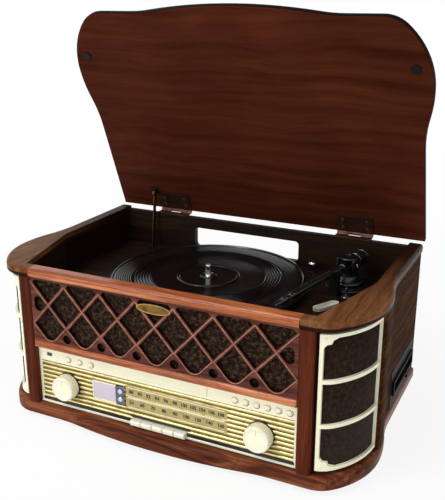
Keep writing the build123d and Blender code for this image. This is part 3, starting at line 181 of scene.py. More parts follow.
def workedMetal(name, colour, roughness=0.2, along="X", brushed=0.0, tarnish="#000000", tarnishShare=0.0,
                groove=None):
    # solid or plated metal: brushed lines along one way, and tarnish that gathers in patches;
    # a groove (lowest, pitch) in m gives painted shade between ribs stacked up the face
    material, add, surface, place = newMaterial(name, Metallic=1.0)
    patches = add("TexNoise", {"Vector": place, "Scale": 90.0, "Detail": 5.0, "Roughness": 0.65})
    amount = add("MapRange", {"Value": patches, "From Min": 0.45, "From Max": 0.7, "To Max": tarnishShare})
    tint = add("Mix", {0: amount, 6: toLinear(colour), 7: toLinear(tarnish)}, surface["Base Color"],
               data_type="RGBA")
    if groove:
        lowest, pitch = groove
        height = add("SeparateXYZ", {0: place}).outputs["Z"]
        above = add("Math", {0: height, 1: lowest}, operation="SUBTRACT")
        rise = add("Math", {0: above, 1: pitch / 2}, operation="PINGPONG")
        shade = add("MapRange", {
            "Value": rise, "From Min": pitch * 0.04, "From Max": pitch * 0.26, "To Min": 0.34})
        add("Mix", {0: 1.0, 6: tint, 7: shade}, surface["Base Color"], **multiplied)
    add("MapRange", {"Value": patches, "To Min": max(roughness - 0.06, 0.03), "To Max": roughness + 0.1},
        surface["Roughness"])
    if brushed:
        lengths = tuple(20 if axis == along else 2500 for axis in "XYZ")
        drawn = add("VectorMath", {0: place, 1: lengths}, operation="MULTIPLY")
        lines = add("TexNoise", {"Vector": drawn, "Scale": 1.0, "Detail": 2.0})
        add("Bump", {"Height": lines, "Strength": brushed, "Distance": 0.0001}, surface["Normal"])
    return material


def wovenCloth(name, dark, mid, light, thread=0.0014):
    # plain-woven speaker cloth in two browns: threads over and under, speckled where the light one rises
    material, add, surface, place = newMaterial(name, **{
        "Roughness": 0.9, "Sheen Weight": 0.04, "Specular IOR Level": 0.1})
    uv = add("UVMap", uv_map="weave")
    # at scale 1 Blender's wave texture has 10 / pi bands to the metre
    across, down = (add("TexWave", {
        "Vector": uv, "Scale": pi / thread / 10, "Distortion": 0.6, "Detail": 1.0},
        bands_direction=way).outputs["Fac"] for way in "XY")
    weave = add("Math", {0: across, 1: down}, operation="MULTIPLY")
    speckle = add("TexNoise", {"Vector": uv, "Scale": 560.0, "Detail": 3.0, "Roughness": 0.7})
    mottled = add("TexNoise", {"Vector": uv, "Scale": 190.0, "Detail": 2.0})
    level = add("Math", {0: add("Math", {0: speckle, 1: mottled}), 1: 0.5}, operation="MULTIPLY")
    colour = add("ValToRGB", {"Fac": level}, stops=((0.40, dark), (0.5, mid), (0.62, light)))
    shade = add("ValToRGB", {"Fac": weave}, stops=((0.0, 0.5), (0.5, 1.0)))
    add("Mix", {0: 1.0, 6: colour, 7: shade}, surface["Base Color"], **multiplied)
    add("Bump", {"Height": weave, "Strength": 0.6, "Distance": 0.0005}, surface["Normal"])
    return material


lidTilt = radians(68)                           # the lid as it stands open
lidHinge = Vector((0, 0.16567, 0.2205))
lidGap = 0.0028                                 # m from the hinge's axis to the lid's inner face
lidOut = (0.0, sin(lidTilt), cos(lidTilt))      # from the lid's inner face to its outer one
lidInner = lidHinge.dot(lidOut) + lidGap
lidEdgeShade = (lidOut, lidInner + 0.0003, lidInner + 0.0107, 0.0006, "#0c0604")     # painted shade on its cut edge, all round
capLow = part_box("rim_caps")[0][2]
capEdgeShade = ((0, 0, 1), capLow - 0.001, capLow + 0.0056, 0.0012, "#2a160c")       # painted shade in the cove under the edge
capRear = ((0, 1, 0), -0.095, 1.0, 0.19, "#25150d")         # darker towards the back
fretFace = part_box("lattice_panel")[0][1]
fretSideShade = ((0, 1, 0), fretFace + 0.0004, fretFace + 0.02, 0.0007, "#1a0c08")   # painted shade on the sawn sides of the bars
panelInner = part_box("right_side_panel")[0][0]
wellSideShade = ((1, 0, 0), -panelInner - 0.0004, panelInner + 0.0004, 0.0002, "#1c100a")    # painted shade on the faces towards the well
reedLow, reedHigh = (corner[2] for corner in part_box("reeded_panel"))
reedCount = 9
walnut = "stained walnut veneer, "
veneers = {     # dark, mid and light stain
    # deep red-brown and dull, with broad figure
    "lidVeneer": (walnut + "lid", "#421c11", "#502517", "#5c2d1c", {
        "tilt": lidTilt, "gloss": 0.008, "bands": (lidEdgeShade,), "figure": 1.7, "poreShade": 0.82,
        "cloudShade": 0.74}),
    # lively streaks from dark to honey
    "plinthVeneer": (walnut + "plinth", "#3f1a0e", "#6e3720", "#a0623e", {
        "seed": 2.0, "gloss": 0.07, "wrapped": True}),
    # the lightest veneer, almost matt
    "capVeneer": (walnut + "caps", "#5f3a20", "#7a4e30", "#916241", {
        "along": "Y", "seed": 3.0, "gloss": 0.03, "bands": (capRear, capEdgeShade)}),
    # upright grain, even and reddish
    "postVeneer": (walnut + "posts", "#471c0c", "#592511", "#6c311a", {
        "along": "Z", "seed": 4.0, "gloss": 0.06}),
    # rubbed to a matt brown
    "sideVeneer": (walnut + "sides", "#28160b", "#422812", "#613b1e", {
        "along": "Y", "seed": 5.0, "roughness": 0.5, "gloss": 0.004, "bands": (wellSideShade,)}),
    # a bright orange-brown line that catches the light
    "railBead": ("stained beech bead", "#8f4522", "#b56236", "#dc8f5f", {
        "seed": 6.0, "roughness": 0.22, "gloss": 0.3}),
    # flat red-brown faces, the sawn sides in painted shade
    "fretWood": ("stained birch ply, fretwork", "#47201a", "#65352a", "#875042", {
        "seed": 7.0, "bands": (fretSideShade,)}),
    # pale pinkish lines on the bars, a painted highlight along each bar's ridge
    "fretHighlightBead": ("stained beech half-round, fretwork", "#96604c", "#b27a65", "#c8947d", {
        "seed": 9.0, "gloss": 0.2}),
    # nearly black with a soft shine: partly its own dark stain, partly painted shade of the deep well
    "wellStainAndShade": ("dark stained ply, well", "#150c08", "#241710", "#342117", {
        "seed": 8.0, "roughness": 0.45, "gloss": 0.08}),
}
plastics = {    # colour, roughness, depth of the cloud, clear coat, gloss
    # warm cream with a wet highlight
    "creamPlastic": ("cream ABS, moulded", "#fdf9da", 0.24, 0.03, 0.2),
    # a shade whiter and glossier
    "keyPlastic": ("white ABS, polished", "#f3f1dd", 0.2, 0.02, 0.15),
    # black with a clear satin shine
    "blackPlastic": ("black ABS, satin", "#101112", 0.28, 0.10),
    # black that gives back hardly any light
    "deckPlastic": ("black ABS, spark-eroded", "#0c0c0d", 0.5, 0.10, 0.0, 0.08),
    # clear mid green
    "boardGreen": ("green solder mask", "#1e5a34", 0.3, 0.12),
    # pale lilac, as if lit from behind
    "lcdGlass": ("backlit display glass", "#d2c6d4", 0.18, 0.05, 0.4),
    # flat brown figures
    "scaleInk": ("printed ink, olive brown", "#2b2410", 0.5, 0.1),
    # ivory lines with a thick gloss
    "scaleEnamel": ("ivory enamel, gloss", "#f6f0d4", 0.22, 0.03, 0.3),
    # blue-black and mirror smooth
    "smokedPlate": ("smoked acrylic, polished", "#1b1e2c", 0.12, 0.05, 0.6),
    # a matt tan line
    "pointerPaint": ("tan paint in a moulded groove", "#c9c09a", 0.4, 0.08),
    # a dark olive line, as a gap looks between cream parts
    "shadeLine": ("moulded gap, in shade", "#38331d", 0.6, 0.1),
    # clear red
    "redPlastic": ("red ABS, socket insulator", "#8f1712", 0.3, 0.06),
}
rubbers = {     # colour, roughness, gloss
    # soft black
    "rubberBlack": ("black rubber", "#0d0e0f", 0.5, 0.2),
    # matt dark grey
    "conePaper": ("pressed paper cone", "#1d1c1b", 0.8),
    # black with a wet shine on each rib
    "matRubber": ("moulded rubber mat", "#0a0c0d", 0.2, 0.42),
}
metals = {      # colour, roughness, way and strength of the brushing, tarnish and its share, grooves of painted shade
    # pale gold ribs with olive tarnish, and painted shade between them
    "goldPaint": ("gold-anodised aluminium, reeded", "#cfc08a", 0.30, "X", 0.3, "#7d6d38", 0.5,
                  (reedLow, (reedHigh - reedLow) / reedCount)),
    # flat dull gold behind the numbers
    "scalePrint": ("gold-anodised aluminium, flat", "#c0b078", 0.36, "X", 0.2, "#8f8048", 0.4),
    # a mirror, faintly blue
    "chromePlate": ("chrome plate", "#d9dadc", 0.07),
    # yellow metal with brown patches
    "agedBrass": ("aged brass plate", "#c8a45c", 0.26, "X", 0.1, "#5b4722", 0.8),
    # brown metal, hardly shining
    "antiqueBrass": ("antique brass, hinges", "#5a4136", 0.45, "X", 0.15, "#301d15", 0.8),
    # grey metal in soft patches
    "satinSteel": ("satin zinc-plated steel", "#7d8283", 0.3, "Z", 0.2, "#3d4041", 0.5),
    # dark grey with turning lines
    "castAluminium": ("cast aluminium, turned", "#5c5e61", 0.35, "X", 0.2, "#2a2b2d", 0.4),
    # light grey sheet, faintly brushed
    "pressedSteel": ("pressed zinc-plated steel", "#8c9092", 0.32, "Y", 0.2, "#5a5e60", 0.4),
    # brown gold broken up by black
    "brassField": ("patinated brass, hammered", "#86693a", 0.30, "X", 0.2, "#1b150a", 1.0),
    # dark grey metal with a soft line of light
    "pivotMetal": ("gunmetal, satin", "#4b4e50", 0.28, "X", 0.1, "#232526", 0.5),
    # brown-black heads on the brown leaves
    "hingeScrew": ("blackened brass screws", "#4f3a2e", 0.36, "X", 0.0, "#2b1c12", 0.8),
    # a smoky violet-grey mirror
    "platedSteel": ("nickel plate, smoked", "#70738c", 0.16, "Z", 0.0, "#2c2e3c", 0.5),
}
cloths = {      # hollow, thread and fleck
    # dark brown with light flecks
    "frontCloth": ("woven speaker cloth, front", "#0d0705", "#26170e", "#6b4d35"),
    # a little lighter and more even
    "cornerCloth": ("woven speaker cloth, corners", "#1f120c", "#302016", "#483224", 0.0012),
}
finishes = {finish: stainedVeneer(*colours, **grain) for finish, (*colours, grain) in veneers.items()}
for make, table in ((mouldedPlastic, plastics), (mouldedRubber, rubbers), (workedMetal, metals),
                    (wovenCloth, cloths)):
    finishes.update({finish: make(*values) for finish, values in table.items()})


def startingWith(*starts):
    return [name for name in nodes if name.startswith(starts)]


roundButtons = startingWith("left_button", "right_button")
finishOf = {
    "lidVeneer": ("lid_board",),
    "plinthVeneer": ("base_plinth",),
    "capVeneer": ("rim_caps",),
    "postVeneer": ("front_posts",),
    "sideVeneer": ("left_side_panel", "right_side_panel"),
    "railBead": ("top_rail", "mid_rail"),
    "fretWood": ("lattice_panel",),
    "wellStainAndShade": ("deck_board", "speaker_baffles", "rear_panel"),
    "creamPlastic": ("radio_fascia", "left_grille_frame", "right_grille_frame", "volume_knob", "tuning_knob",
                     "cd_tray", *roundButtons),
    "keyPlastic": ("speed_lever", *startingWith("piano_key")),
    "blackPlastic": startingWith("tonearm"),
    "deckPlastic": ("cassette_deck", "cassette_button"),
    "goldPaint": ("reeded_panel",),
    "scalePrint": ("dial_scale",),
    "chromePlate": startingWith("display_button"),
    "agedBrass": ("ornament_plate",),
    "antiqueBrass": ("cabinet_hinge_leaves", "lid_hinge_leaves", "lid_stay", "stay_bracket"),
    "satinSteel": ("motor_pulley",),
    "castAluminium": ("platter",),
    "rubberBlack": ("platter_mat", "rubber_feet", "lid_bumpers", "drive_belt"),
    "conePaper": ("speakers",),
    "boardGreen": ("main_board",),
    "pressedSteel": ("cd_drive", "turntable_motor"),
    "smokedPlate": ("display_module",),
    "frontCloth": ("lattice_cloth",),
    "cornerCloth": ("grille_cloths",),
}
for finish, members in finishOf.items():
    for member in members:
        slots = nodes[member].data.materials
        slots.clear()
        slots.append(finishes[finish])
print("finishes on the CAD pieces")

sunk = 0.001                    # m that a fitting is let into what carries it
creaseAngle = radians(35)       # sharper edges of a piece stay sharp


def boxOf(node):
    # the lowest and the highest corner of a CAD piece
    return [Vector(corner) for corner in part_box(node)]


def facing(place, direction):
    # turns +Z to a direction and moves the result to its place
    return Matrix.Translation(place) @ Vector(direction).to_track_quat("Z", "Y").to_matrix().to_4x4()


def asMesh(shape):
    mesh = bpy.data.meshes.new("shape")
    shape.to_mesh(mesh)
    shape.free()
    return mesh


def finished(shape, turn=Matrix()):
    # a bmesh with its faces outwards, put in place as a mesh
    bmesh.ops.recalc_face_normals(shape, faces=shape.faces)
    shape.transform(turn)
    return asMesh(shape)


def newObject(name, data):
    made = bpy.data.objects.new(name, data)
    bpy.context.scene.collection.objects.link(made)
    return made


def evaluatedMesh(made):
    return bpy.data.meshes.new_from_object(made.evaluated_get(bpy.context.evaluated_depsgraph_get()))


def addPiece(name, mesh, finish, body="cabinet"):
    mesh.name = name
    mesh.materials.clear()
    mesh.materials.append(finishes[finish])
    mesh.shade_smooth()
    mesh.set_sharp_from_angle(angle=creaseAngle)
    piece = newObject(name, mesh)
    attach(piece, body)
    return piece


def ringOf(shape, count, spot):
    return [shape.verts.new(spot(2 * pi * i / count)) for i in range(count)]


def skin(shape, rings, closed=False, ends=()):
    # faces from each ring of points to the next, and over the open ends; a ring of one point is a pole
    for one, two in zip(rings, rings[1:] + rings[:1] if closed else rings[1:]):
        for i in range(max(len(one), len(two))):
            corners = [one[i % len(one)], one[(i + 1) % len(one)], two[(i + 1) % len(two)], two[i % len(two)]]
            shape.faces.new(list(dict.fromkeys(corners)))
    for ring in ends:
        shape.faces.new(ring)


def turnedMesh(profiles, turn=Matrix(), steps=64):
    # turned shapes; a profile runs (radius, height) up the outside, or round a ring that has a hole
    shape = bmesh.new()
    for profile in profiles:
        rings = [ringOf(shape, steps if radius else 1, lambda t: (radius * cos(t), radius * sin(t), height))
                 for radius, height in profile]
        skin(shape, rings, closed=profile[0][0] > 0)
    return finished(shape, turn)


def blocksMesh(blocks, edge, turn=Matrix()):
    # rounded blocks, each from its lowest to its highest corner
    shape = bmesh.new()
    for low, high in blocks:
        size = [b - a for a, b in zip(low, high)]
        middle = [(a + b) / 2 for a, b in zip(low, high)]
        block = bmesh.ops.create_cube(shape, size=1.0, matrix=Matrix.Translation(middle) @ Matrix.Diagonal(
            (*size, 1.0)))
        edges = list({e for v in block["verts"] for e in v.link_edges})
        bmesh.ops.bevel(shape, geom=edges, offset=edge, segments=3, profile=0.5, affect="EDGES")
    return finished(shape, turn)


def beadMesh(path, radius, across=(0, 1, 0), closed=False, steps=10):
    # a round bead along a path that lies in a plane; across is that plane's normal
    shape = bmesh.new()
    across = Vector(across)
    count = len(path)
    path = [Vector(point) for point in path]
    rings = []
    for i, point in enumerate(path):
        before = path[i - 1] if i or closed else point
        after = path[(i + 1) % count] if i + 1 < count or closed else point
        out = (after - before).cross(across).normalized()
        rings.append(ringOf(shape, steps, lambda t: point + radius * (cos(t) * out + sin(t) * across)))
    skin(shape, rings, closed, ends=() if closed else (rings[0], rings[-1]))
    return finished(shape)


def fittingTree():
    # Geometry Nodes: one fitting on every point, turned by the point's own attribute and made real
    tree = bpy.data.node_groups.new("fitting on every point", "GeometryNodeTree")
    face = tree.interface
    face.new_socket("Geometry", in_out="INPUT", socket_type="NodeSocketGeometry")
    sockets = {name: face.new_socket(name, in_out="INPUT", socket_type="NodeSocket" + kind).identifier
               for name, kind in (("Fitting", "Object"), ("Size", "Float"), ("Finish", "Material"))}
    face.new_socket("Geometry", in_out="OUTPUT", socket_type="NodeSocketGeometry")
    add = partial(addNode, tree)
    start = add("NodeGroupInput").outputs
    turn = add("GeometryNodeInputNamedAttribute", {"Name": "turn"}, data_type="FLOAT_VECTOR")
    rotation = add("FunctionNodeEulerToRotation", {"Euler": turn.outputs["Attribute"]})
    fitting = add("GeometryNodeObjectInfo", {"Object": start["Fitting"]})
    copies = add("GeometryNodeInstanceOnPoints", {
        "Points": start["Geometry"], "Instance": fitting.outputs["Geometry"],
        "Rotation": rotation, "Scale": start["Size"]})
    real = add("GeometryNodeRealizeInstances", {"Geometry": copies})
    painted = add("GeometryNodeSetMaterial", {"Geometry": real, "Material": start["Finish"]})
    add("NodeGroupOutput", {"Geometry": painted})
    return tree, sockets


copiesTree, copiesSockets = fittingTree()


def addCopies(name, fitting, spots, finish, body="cabinet", size=1.0):
    # a piece with the fitting's mesh on every spot; a spot is a place and the way the fitting faces there
    points = bpy.data.meshes.new("spots")
    points.from_pydata([tuple(place) for place, direction in spots], [], [])
    turns = points.attributes.new("turn", "FLOAT_VECTOR", "POINT")
    for turn, (place, direction) in zip(turns.data, spots):
        turn.vector = Vector(direction).to_track_quat("Z", "Y").to_euler()
    pattern, holder = newObject("pattern", fitting), newObject("holder", points)
    modifier = holder.modifiers.new("copies", "NODES")
    modifier.node_group = copiesTree
    for key, value in (("Fitting", pattern), ("Size", size), ("Finish", finishes[finish])):
        modifier[copiesSockets[key]] = value
    mesh = evaluatedMesh(holder)
    for made in (pattern, holder):
        bpy.data.objects.remove(made)
    return addPiece(name, mesh, finish, body)


def surfaceSpot(node, origin, direction):
    # where a straight line meets a CAD piece, and which way the surface faces there
    hit, place, normal, index = nodes[node].ray_cast(Vector(origin), Vector(direction))
    if not hit:
        raise ValueError(f"no surface of {node} in front of {origin}")
    return place, normal


screwValues = {
    "turns": 24, "rings": 6, "slotRings": 4,    # the cross recess ends inside the fourth ring
    "recess": 0.45, "foot": 0.4,                # of the head's height: the recess's floor, the foot below
}


def crossHead(radius, height, slot):
    # a pan-head screw's head with a cross recess
    v = screwValues
    shape = bmesh.new()
    rows = [[shape.verts.new((0, 0, height * v["recess"]))]]
    for ring in range(1, v["rings"] + 1):
        reach = radius * ring / v["rings"]
        level = height * cos(reach / radius * pi / 2) ** 0.5 if ring < v["rings"] else 0.0

        def spot(t):
            x, y = reach * cos(t), reach * sin(t)
            isSunk = min(abs(x), abs(y)) < slot and ring < v["slotRings"]
            return x, y, level * v["recess"] if isSunk else level

        rows.append(ringOf(shape, v["turns"], spot))
    rows.append([shape.verts.new((*point.co.xy, -height * v["foot"])) for point in rows[-1]])
    skin(shape, rows, ends=rows[-1:])
    return finished(shape)


fretCells = 7           # openings of the fretwork from side to side
clothValues = {
    "sag": 0.0005,      # m that the front cloth stands into each opening of the fretwork
    "waves": 3,         # swells up the cloth
    "columns": 140, "rows": 33,
    "stand": 0.0006, "thickness": 0.0007,
    "cornerPlace": (0.19, 0.076),       # m: a round corner's middle, to the side and behind the cloth's front
    "cornerFacing": 0.5,                # faces that look less outwards than this aren't the cloth's outside
}


def frontClothMesh():
    v = clothValues
    low, high = boxOf("lattice_cloth")
    wide, tall = high.x - low.x, high.z - low.z
    panelLow, panelHigh = boxOf("lattice_panel")
    cell = (panelHigh.x - panelLow.x) / fretCells
    shape = bmesh.new()
    weave = shape.loops.layers.uv.new("weave")
    bmesh.ops.create_grid(shape, x_segments=v["columns"], y_segments=v["rows"], size=0.5)
    for point in shape.verts:
        along, up = point.co.x + 0.5, point.co.y + 0.5
        swell = 0.5 - 0.5 * cos(2 * pi * along * wide / cell) * cos(pi * up * v["waves"])
        point.co = low.x + along * wide, low.y + v["stand"] - v["sag"] * swell, low.z + up * tall
    for face in shape.faces:
        for loop in face.loops:
            loop[weave].uv = loop.vert.co.xz
    return asMesh(shape), (wide, tall)


def cornerClothMesh(side):
    # the outer face of the corner's cloth, measured round the corner for its weave
    v = clothValues
    low, high = boxOf("grille_cloths")
    inner = Vector((side * v["cornerPlace"][0], low.y + v["cornerPlace"][1]))
    shape = bmesh.new()
    shape.from_mesh(nodes["grille_cloths"].data)
    bmesh.ops.remove_doubles(shape, verts=shape.verts, dist=1e-6)
    shape.normal_update()
    unwanted = []
    for face in shape.faces:
        centre = face.calc_center_median()
        out = (centre.xy - inner).normalized()
        if centre.x * side < 0 or face.normal.xy.dot(out) < v["cornerFacing"]:
            unwanted.append(face)
    bmesh.ops.delete(shape, geom=unwanted, context="FACES")
    rounded = lambda spot: (round(spot.x, 5), round(spot.y, 5))
    corners = sorted({rounded(point.co) for point in shape.verts}, reverse=True,
                     key=lambda c: side * (Vector(c) - inner).angle_signed(Vector((0, -1))))
    reach, run = {corners[0]: 0.0}, 0.0
    for one, two in zip(corners, corners[1:]):
        run += (Vector(two) - Vector(one)).length
        reach[two] = run
    weave = shape.loops.layers.uv.new("weave")
    for face in shape.faces:
        for loop in face.loops:
            loop[weave].uv = (reach[rounded(loop.vert.co)], loop.vert.co.z)
    return asMesh(shape), (run, high.z - low.z)


def addCloth(name, made, finish, covered):
    mesh, flatSize = made
    cloth = addPiece(name, mesh, finish)
    modifier = cloth.modifiers.new("thickness", "SOLIDIFY")
    modifier.thickness = clothValues["thickness"]
    modifier.offset = -1.0
    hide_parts(covered)


addCloth("frontCloth", frontClothMesh(), "frontCloth", "lattice_cloth")
for side, name in ((-1, "leftCornerCloth"), (1, "rightCornerCloth")):
    addCloth(name, cornerClothMesh(side), "cornerCloth", "grille_cloths")
print("speaker cloths")


fretValues = {
    "crossingHeight": 0.0527, "crossingStep": 0.0292,   # m above the panel's foot, m between crossings
    "beadRadius": 0.0007, "beadStand": 0.0001, "beadSteps": 8,
    "bowEnds": (0.02495, 0.0235),       # m out from a cell's middle, and above the foot
    "bowTurn": 0.00615,                 # m above the foot, where the round part starts
    "bowCentre": 0.01448, "bowRadius": 0.01238, "bowSteps": 6,
}


def addFretBeads():
    # a fine half-round along the middle of each slanting bar, pale as a painted highlight on the ridge; every
    # piece of bar is as long as the next
    v = fretValues
    low, high = boxOf("lattice_panel")
    half = (high.x - low.x) / fretCells / 2
    step = v["crossingStep"]
    reach = (half ** 2 + step ** 2) ** 0.5 / 2
    front, crossings = low.y + v["beadStand"], low.z + v["crossingHeight"]
    middles = [low.x + half * (2 * cell + 1) for cell in range(fretCells)]
    spots = [((x + across * half / 2, front, crossings + up * step / 2), (across * half, 0, up * step))
             for x in middles for across in (-1, 1) for up in (-1, 1)]
    bead = beadMesh([(0, 0, -reach), (0, 0, reach)], v["beadRadius"], steps=v["beadSteps"])
    addCopies("fretBeads", bead, spots, "fretHighlightBead")
    # below the crossings the bead follows each cell's round foot
    centre, radius, count = v["bowCentre"], v["bowRadius"], v["bowSteps"]
    start = acos((centre - v["bowTurn"]) / radius)
    path = [(radius * sin(start * i / count), 0, centre - radius * cos(start * i / count))
            for i in range(-count, count + 1)]
    out, up = v["bowEnds"]
    bow = beadMesh([(-out, 0, up), *path, (out, 0, up)], v["beadRadius"], steps=v["beadSteps"])
    addCopies("fretBows", bow, [((x, front, low.z), (0, 0, 1)) for x in middles], "fretHighlightBead")


addFretBeads()
print("fretwork")


scaleValues = {
    "numbers": (        # each row's numbers, m up from the floor, and the side on which its ticks stand
        (range(88, 109, 2), 0.0712, -1),
        ((54, 60, 70, 80, 90, 100, 120, 140, 160), 0.0558, 1)),
    "numberHeight": 0.0064, "numberRaised": 0.00006, "numberBold": 0.00028,
    "lines": ((0.0772, 0.0005), (0.0632, 0.0010), (0.0490, 0.0005)),        # m up, half of the width
    "lineStand": 0.0005, "lineSunk": 0.0003, "lineEdge": 0.0002,
    "ribStep": 0.0020, "ribRadius": 0.0008, "firstRib": 0.0012,
    "ribToRow": 0.0046, "ribToLine": 0.0008,        # m that the ribs keep clear
    "inset": 0.0035, "rowInset": 0.005,
    "tickDrop": 0.0045, "tickPerNumber": 4, "tickHalf": (0.00025, 0.0008, 0.0001), "tickEdge": 0.00005,
}


def printedMesh(entries, y):
    # plain numbers as thin raised print, facing the front
    shape = bmesh.new()
    for text, x, z in entries:
        curve = bpy.data.curves.new("number", "FONT")
        curve.body = text
        curve.size = scaleValues["numberHeight"]
        curve.align_x = curve.align_y = "CENTER"
        curve.extrude = scaleValues["numberRaised"]
        curve.offset = scaleValues["numberBold"]
        number = newObject("number", curve)
        mesh = evaluatedMesh(number)
        mesh.transform(Matrix.Translation((x, y, z)) @ Matrix.Rotation(radians(90), 4, "X"))
        shape.from_mesh(mesh)
        bpy.data.objects.remove(number)
    bmesh.ops.remove_doubles(shape, verts=shape.verts, dist=1e-7)
    return finished(shape)


def addScale():
    v = scaleValues
    low, high = boxOf("dial_scale")
    left, right = low.x + v["inset"], high.x - v["inset"]
    spread = lambda count: [left + v["rowInset"] + (right - left - 2 * v["rowInset"]) * i / (count - 1)
                            for i in range(count)]
    entries, ticks = [], []
    for numbers, z, tickSide in v["numbers"]:
        entries += [(str(number), x, z) for number, x in zip(numbers, spread(len(numbers)))]
        ticks += [((x, low.y, z + tickSide * v["tickDrop"]), (0, -1, 0))
                  for x in spread(v["tickPerNumber"] * (len(numbers) - 1) + 1)]
    addPiece("scaleNumbers", printedMesh(entries, low.y), "scaleInk")
    tick = blocksMesh([([-size for size in v["tickHalf"]], v["tickHalf"])], v["tickEdge"])
    addCopies("scaleTicks", tick, ticks, "scaleInk")
    lines = [((left, low.y - v["lineStand"], z - half), (right, low.y + v["lineSunk"], z + half))
             for z, half in v["lines"]]
    addPiece("scaleLines", blocksMesh(lines, v["lineEdge"]), "scaleEnamel")
    ribs = []
    z = low.z + v["firstRib"]
    while z < high.z:
        toRow = min(abs(z - at) for numbers, at, side in v["numbers"])
        toLine = min(abs(z - at) - half for at, half in v["lines"])
        if toRow > v["ribToRow"] and toLine > v["ribToLine"]:
            ribs.append((((low.x + high.x) / 2, low.y, z), (0, 0, 1)))
        z += v["ribStep"]
    half = (high.x - low.x) / 2
    addCopies("scaleRibs", beadMesh([(-half, 0, 0), (half, 0, 0)], v["ribRadius"]), ribs, "goldPaint")


def frontBlock(face, stand, left, right, bottom, top):
    # a block that stands out from a front face and is let into it
    return (left, face - stand, bottom), (right, face + sunk, top)


displayValues = {
    "stripGap": 0.0021,                 # m from the button plate's left edge to its buttons
    "windowInset": 0.0008, "windowToPlate": 0.0006, "windowStand": 0.0004, "windowEdge": 0.0003,
    "frameHalf": 0.0009, "frameStand": 0.0009,
    "plateOver": 0.0004, "plateStand": 0.0007, "plateEdge": 0.0004,
}


def addDisplay():
    v = displayValues
    low, high = boxOf("display_module")
    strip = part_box("display_button_upper")[0][0] - v["stripGap"]
    inset, half, stand, over = v["windowInset"], v["frameHalf"], v["frameStand"], v["plateOver"]
    window = frontBlock(low.y, v["windowStand"], low.x + inset, strip - v["windowToPlate"],
                        low.z + inset, high.z - inset)
    addPiece("displayWindow", blocksMesh([window], v["windowEdge"]), "lcdGlass")
    bars = ((strip, low.z, low.z), (strip, high.z, high.z), (low.x + half, low.z, high.z))
    frames = [frontBlock(low.y, stand, low.x - half, right, bottom - half, top + half)
              for right, bottom, top in bars]
    addPiece("displayFrame", blocksMesh(frames, v["windowEdge"]), "scaleEnamel")
    plate = frontBlock(low.y, v["plateStand"], strip, high.x, low.z - over, high.z + over)
    addPiece("buttonPlate", blocksMesh([plate], v["plateEdge"]), "platedSteel")


crescentValues = {
    "radius": 0.0045, "start": radians(-135), "sweep": radians(190), "steps": 16,
    "ends": 0.00008, "middle": 0.00085, "low": -0.0003, "high": 0.0001,     # m wide, m from the panel
}


def crescentMesh():
    # the shaded gap beside a button, widest at the lower right and gone at its two ends
    v = crescentValues
    shape = bmesh.new()
    rows = []
    for i in range(v["steps"] + 1):
        share = i / v["steps"]
        angle = v["start"] + v["sweep"] * share
        outer = v["radius"] + v["ends"] + v["middle"] * sin(pi * share)
        rows.append([shape.verts.new((reach * cos(angle), reach * sin(angle), height)) for reach, height in (
            (v["radius"], v["low"]), (v["radius"], v["high"]), (outer, v["high"]), (outer, v["low"]))])
    skin(shape, rows, ends=(rows[0], rows[-1]))
    return finished(shape)


fasciaValues = {
    "lipInset": 0.0004, "lipStand": 0.0016, "lipEdge": 0.0007,
    "gapBelow": 0.0022, "gapAbove": 0.0012,         # m from the gold panel's lower edge
    "gapInset": 0.003, "gapStand": 0.0003, "gapEdge": 0.0001,
    "keyShadeReach": 0.0035, "keyShadeHeights": (0.0003, 0.0032),       # m beside and above the keys, for a black strip of painted shade over them
    "hoodStand": 0.0006, "hoodEdge": 0.0002,
    "eye": (-0.1722, -0.1642, 0.0962, 0.1012), "eyeStand": 0.0006, "eyeEdge": 0.0005,
}


def addFasciaTrim():
    v = fasciaValues
    low, high = boxOf("radio_fascia")
    keyLow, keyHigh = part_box("piano_key_1")[0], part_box("piano_key_5")[1]
    gapLow, gapHigh = reedLow - v["gapBelow"], reedLow + v["gapAbove"]
    keyShadeLow, keyShadeHigh = (keyHigh[2] + up for up in v["keyShadeHeights"])
    for name, finish, kind, *place in (
            ("fasciaLip", "keyPlastic", "lip", low.x + v["lipInset"], high.x - v["lipInset"],
             low.z + v["lipInset"], gapLow),
            ("lipShadow", "blackPlastic", "gap", low.x + v["gapInset"], high.x - v["gapInset"],
             gapLow, gapHigh),
            # a black strip over the keys, painted shade in place of the shadow in the slot above them
            ("keyHood", "blackPlastic", "hood", keyLow[0] - v["keyShadeReach"], keyHigh[0] + v["keyShadeReach"],
             keyShadeLow, keyShadeHigh),
            ("remoteEye", "smokedPlate", "eye", *v["eye"])):
        block = frontBlock(low.y, v[kind + "Stand"], *place)
        addPiece(name, blocksMesh([block], v[kind + "Edge"]), finish)
    middles = [(Vector(a) + Vector(b)) / 2 for a, b in map(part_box, roundButtons)]
    addCopies("buttonShades", crescentMesh(), [((m.x, low.y, m.z), (0, -1, 0)) for m in middles], "shadeLine")


badgeValues = {
    "halfWidth": 0.0232, "halfHeight": 0.0058, "rimRadius": 0.0007, "steps": 72,
    "dome": 0.0007, "sunk": 0.0002,
    "domeShares": (0.95, 0.88, 0.75, 0.55, 0.3, 0.0),       # of the way from the middle to the rim
}


def addBadge():
    # the badge is left blank: a rim round a plain domed field
    v = badgeValues
    low, high = boxOf("ornament_plate")
    centre = Vector((0, low.y, (low.z + high.z) / 2))
    path = [centre + Vector((v["halfWidth"] * cos(t), 0, v["halfHeight"] * sin(t)))
            for t in (2 * pi * i / v["steps"] for i in range(v["steps"]))]
    addPiece("badgeRim", beadMesh(path, v["rimRadius"], closed=True), "agedBrass")
    profile = [(0.0, -v["sunk"]), (v["domeShares"][0], -v["sunk"])]
    profile += [(share, v["dome"] * (1 - share ** 2)) for share in v["domeShares"]]
    turn = facing(centre, (0, -1, 0)) @ Matrix.Diagonal((v["halfWidth"], v["halfHeight"], 1, 1))
    addPiece("badgeField", turnedMesh([profile], turn, v["steps"]), "brassField")


addScale()
addDisplay()
addFasciaTrim()
addBadge()
print("radio panel")


